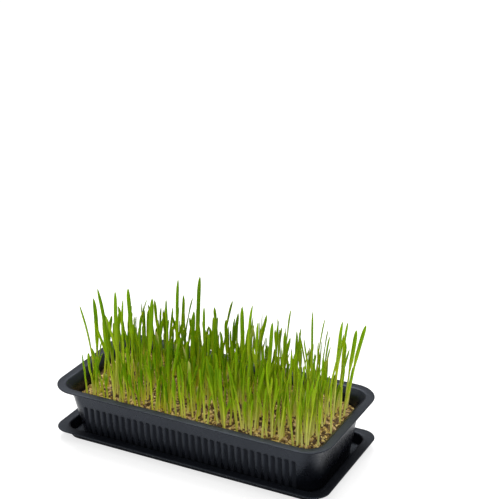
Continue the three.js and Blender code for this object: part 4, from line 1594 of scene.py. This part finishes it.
def second_leaf_line(shoot, first, draw):
    """Centre line of a shoot's second leaf, which parts from the sheath to one side."""
    height = shoot["height"]
    reach = lerp(*SECOND_LEAF_REACH, draw())
    side = 1.0 if draw() < 0.5 else -1.0
    spread = lerp(*SECOND_LEAF_SPREAD, draw()) * side
    lean_out = lerp(-SECOND_LEAF_LEAN, SECOND_LEAF_LEAN, draw())
    twist = lerp(-1.0, 1.0, draw())
    along = facing_of(shoot)
    away = Vector((-along.y, along.x, 0.0))
    broadest = shoot["slim"] * shoot["width"]
    line = []
    for share in LEAF_STOPS:
        run = lerp(0.0, reach * (1 - first), share) * height
        rise = first * height + run
        place = shoot_axis(shoot, rise)
        place += (along * spread + away * lean_out) * run * smooth_step(-0.3, 0.6, share)
        half = leaf_half_width(share, SECOND_LEAF_FOOT * STEM_WIDTH, SECOND_LEAF_WIDTH * broadest)
        line.append((place, half, shoot["face"] + twist * share, rise / height))
    return line


def add_shoot(lines, shoot, draw, second_leaf):
    """Adds a shoot's sheath and leaves to a bunch's lines."""
    tone = draw()
    dry = lerp(DRY_LEAST, 1.0, draw()) if draw() < DRY_SHARE * shoot["twist"] else 0.0
    values = (tone, dry)
    sheath_top = lerp(SHEATH_LOWEST, SHEATH_HIGHEST, draw())
    first = sheath_top - LEAF_OVERLAP
    lines.add(sheath_line(shoot, sheath_top), values, 0.0)
    lines.add(main_leaf_line(shoot, first, draw), values, 1.0)
    if draw() < second_leaf and shoot["height"] > SECOND_LEAF_FROM:
        lines.add(second_leaf_line(shoot, first, draw), values, 1.0)


def swept(tree, curve, section):
    """A section swept along centre lines, at their own half widths, with closed ends."""
    feeds = {
        "Curve": curve,
        "Profile Curve": section,
        "Scale": attribute_of(tree, "half_width"),
        "Fill Caps": True,
    }
    return out(put(tree, "GeometryNodeCurveToMesh", feeds))


def section_with_sides(tree, sides, thickness, fold):
    """A flattened, folded round section that knows how far each of its points lies from the middle."""
    ring = put(tree, "GeometryNodeCurvePrimitiveCircle", {"Resolution": sides, "Radius": 1.0})
    place = position_parts(tree)
    x = out(place, "X")
    kept = keep_value(tree, out(ring, "Curve"), "across", x)
    flat = math_node(tree, "MULTIPLY", out(place, "Y"), thickness)
    folded = math_node(tree, "MULTIPLY", math_node(tree, "MULTIPLY", x, x), fold)
    spot = vector_of(tree, X=x, Y=math_node(tree, "ADD", flat, folded))
    return out(put(tree, "GeometryNodeSetPosition", {"Geometry": kept, "Position": spot}))


def grass_tree():
    """Geometry Nodes: round sheaths and folded leaves along the centre lines of a bunch."""
    sizes = {"Sheath Sides": "Int", "Leaf Sides": "Int", "Leaf Thickness": "Float", "Leaf Fold": "Float"}
    tree, start, end = geometry_tree("Grass Shoots", sizes)
    curves = put(tree, "GeometryNodeMeshToCurve", {"Mesh": out(start, "Geometry")})
    feeds = {"Curve": out(curves), "Normal": attribute_of(tree, "facing", "FLOAT_VECTOR")}
    turned = put(tree, "GeometryNodeSetCurveNormal", feeds, mode="FREE")
    leafy = math_node(tree, "GREATER_THAN", attribute_of(tree, "leafy"), 0.5)
    feeds = {"Geometry": out(turned), "Selection": leafy}
    parted = put(tree, "GeometryNodeSeparateGeometry", feeds, domain="CURVE")
    thickness = out(start, "Leaf Thickness")
    flat = section_with_sides(tree, out(start, "Leaf Sides"), thickness, out(start, "Leaf Fold"))
    leaves = swept(tree, out(parted, "Selection"), flat)
    stem = section_with_sides(tree, out(start, "Sheath Sides"), 1.0, 0.0)
    sheaths = swept(tree, out(parted, "Inverted"), stem)
    both = tree.nodes.new("GeometryNodeJoinGeometry")
    tree.links.new(leaves, both.inputs["Geometry"])
    tree.links.new(sheaths, both.inputs["Geometry"])
    close_tree(tree, start, end, out(both))
    return tree


class WHEATGRASS_OT_grass(bpy.types.Operator):
    """Grows the bunches of grass where the solids have them"""

    bl_idname = "wheatgrass.grass"
    bl_label = "Grass"

    def execute(self, context):
        grass = context.scene.wheatgrass_grass
        places = bunch_places()
        bunches = grow_shoots(places)
        grow_infill(places, bunches, grass.infill)
        tree = grass_tree()
        sizes = {
            "Sheath Sides": SHEATH_SIDES,
            "Leaf Sides": LEAF_SIDES,
            "Leaf Thickness": grass.leaf_thickness,
            "Leaf Fold": grass.leaf_fold,
            "Material": grass_material(grass),
        }
        for k, shoots in enumerate(bunches):
            if not shoots:
                continue
            lines = ShootLines()
            for n, shoot in enumerate(shoots):
                add_shoot(lines, shoot, draws(LEAF_SEED + LEAF_SEED_STEP * k + n), grass.second_leaf)
            label = str(k + 1).zfill(2)
            piece = new_piece("grass_" + label, lines.mesh("grass_" + label))
            run_tree(piece, tree, sizes)
            face_outwards(piece.data)
            shade(piece.data, GRASS_CREASE)
            finish_piece(piece, "grass", "grass_bunch_" + label)
        return {"FINISHED"}


def photo_camera(scene):
    """The camera, as fitted to the photograph."""
    data = bpy.data.cameras.new("camera")
    data.sensor_fit = "HORIZONTAL"
    data.sensor_width = CAMERA_SENSOR
    data.lens = CAMERA_LENS
    data.clip_start = CAMERA_NEAR
    data.clip_end = CAMERA_FAR
    camera = bpy.data.objects.new("camera", data)
    camera.location = CAMERA_PLACE
    camera.rotation_euler = (math.radians(CAMERA_TILT), 0.0, math.radians(CAMERA_TURN))
    scene.collection.objects.link(camera)
    scene.camera = camera


def floor_material(stage):
    """A pale floor, which the camera sees paler than it is."""
    material, tree, shader, place = new_material("pale_floor")
    in_view = out(tree.nodes.new("ShaderNodeLightPath"), "Is Camera Ray")
    shaded = opaque([stage.shadow * value for value in stage.floor_colour])
    colour = blend_colour(tree, in_view, opaque(stage.floor_colour), shaded)
    tree.links.new(colour, shader.inputs["Base Color"])
    tree.links.new(blend_colour(tree, in_view, BLACK, WHITE), shader.inputs["Emission Color"])
    shader.inputs["Emission Strength"].default_value = FLOOR_WHITE - stage.shadow
    shader.inputs["Roughness"].default_value = 0.9
    shader.inputs["Specular IOR Level"].default_value = 0.1
    return material


def floor_mesh(stage):
    """A wide square floor."""
    mesh = bpy.data.meshes.new("floor")
    corners = [(FLOOR_REACH * x, FLOOR_REACH * y, 0.0) for x, y in ((-1, -1), (1, -1), (1, 1), (-1, 1))]
    mesh.from_pydata(corners, [], [(0, 1, 2, 3)])
    mesh.materials.append(floor_material(stage))
    return mesh


def even_light(stage):
    """Light from all round that grows towards the top, and plain white for the camera."""
    world = bpy.data.worlds.new("even_light")
    world.use_nodes = True
    tree = world.node_tree
    sky = tree.nodes["Background"]
    sky.inputs["Color"].default_value = WHITE
    towards = out(tree.nodes.new("ShaderNodeTexCoord"), "Generated")
    rise = out(put(tree, "ShaderNodeSeparateXYZ", {"Vector": towards}), "Z")
    light = map_range(tree, rise, SKY_FROM, 1.0, stage.horizon, stage.sky)
    in_view = out(tree.nodes.new("ShaderNodeLightPath"), "Is Camera Ray")
    white = math_node(tree, "MULTIPLY", in_view, FLOOR_WHITE)
    tree.links.new(math_node(tree, "MAXIMUM", light, white), sky.inputs["Strength"])
    return world


def area_light(name, place, aim, size, power):
    """A soft square light that faces a point."""
    lamp = bpy.data.lights.new(name, "AREA")
    lamp.size = size
    lamp.energy = power
    light = bpy.data.objects.new(name, lamp)
    light.location = place
    light.rotation_euler = (Vector(aim) - Vector(place)).to_track_quat("-Z", "Y").to_euler()
    bpy.context.scene.collection.objects.link(light)


class WHEATGRASS_OT_stage(bpy.types.Operator):
    """Sets up the camera, the floor and the lights"""

    bl_idname = "wheatgrass.stage"
    bl_label = "Stage"

    def execute(self, context):
        scene = context.scene
        stage = scene.wheatgrass_stage
        photo_camera(scene)
        new_piece("floor", floor_mesh(stage))
        scene.world = even_light(stage)
        area_light("key_light", KEY_PLACE, KEY_AIM, KEY_SIZE, stage.key_power)
        area_light("fill_light", FILL_PLACE, FILL_AIM, FILL_SIZE, stage.fill_power)
        scene.view_settings.view_transform = "Standard"
        return {"FINISHED"}


class WHEATGRASS_PT_panel(bpy.types.Panel):
    """Lists the settings and the steps"""

    bl_idname = "WHEATGRASS_PT_panel"
    bl_label = "Wheatgrass Tray"
    bl_space_type = "VIEW_3D"
    bl_region_type = "UI"
    bl_category = "Wheatgrass"

    def draw(self, context):
        for setting, group in SETTINGS:
            box = self.layout.box()
            for name in group.__annotations__:
                box.prop(getattr(context.scene, setting), name)
        for operator in OPERATORS:
            self.layout.operator(operator.bl_idname)


SETTINGS = (
    ("wheatgrass_stage", WHEATGRASS_PG_stage),
    ("wheatgrass_trays", WHEATGRASS_PG_trays),
    ("wheatgrass_medium", WHEATGRASS_PG_medium),
    ("wheatgrass_grass", WHEATGRASS_PG_grass),
)
OPERATORS = (
    WHEATGRASS_OT_stage,
    WHEATGRASS_OT_drip_tray,
    WHEATGRASS_OT_grow_tray,
    WHEATGRASS_OT_medium,
    WHEATGRASS_OT_grass,
)


def register():
    """Registers the settings, the operators and the panel."""
    for name, group in SETTINGS:
        bpy.utils.register_class(group)
        setattr(bpy.types.Scene, name, PointerProperty(type=group))
    for operator in OPERATORS:
        bpy.utils.register_class(operator)
    bpy.utils.register_class(WHEATGRASS_PT_panel)


def unregister():
    """Takes the panel, the operators and the settings out again."""
    bpy.utils.unregister_class(WHEATGRASS_PT_panel)
    for operator in reversed(OPERATORS):
        bpy.utils.unregister_class(operator)
    for name, group in reversed(SETTINGS):
        delattr(bpy.types.Scene, name)
        bpy.utils.unregister_class(group)


def main():
    """Builds the whole tray."""
    register()
    bpy.ops.wheatgrass.stage()
    bpy.ops.wheatgrass.drip_tray()
    bpy.ops.wheatgrass.grow_tray()
    bpy.ops.wheatgrass.medium()
    bpy.ops.wheatgrass.grass()


if __name__ == "__main__":
    main()
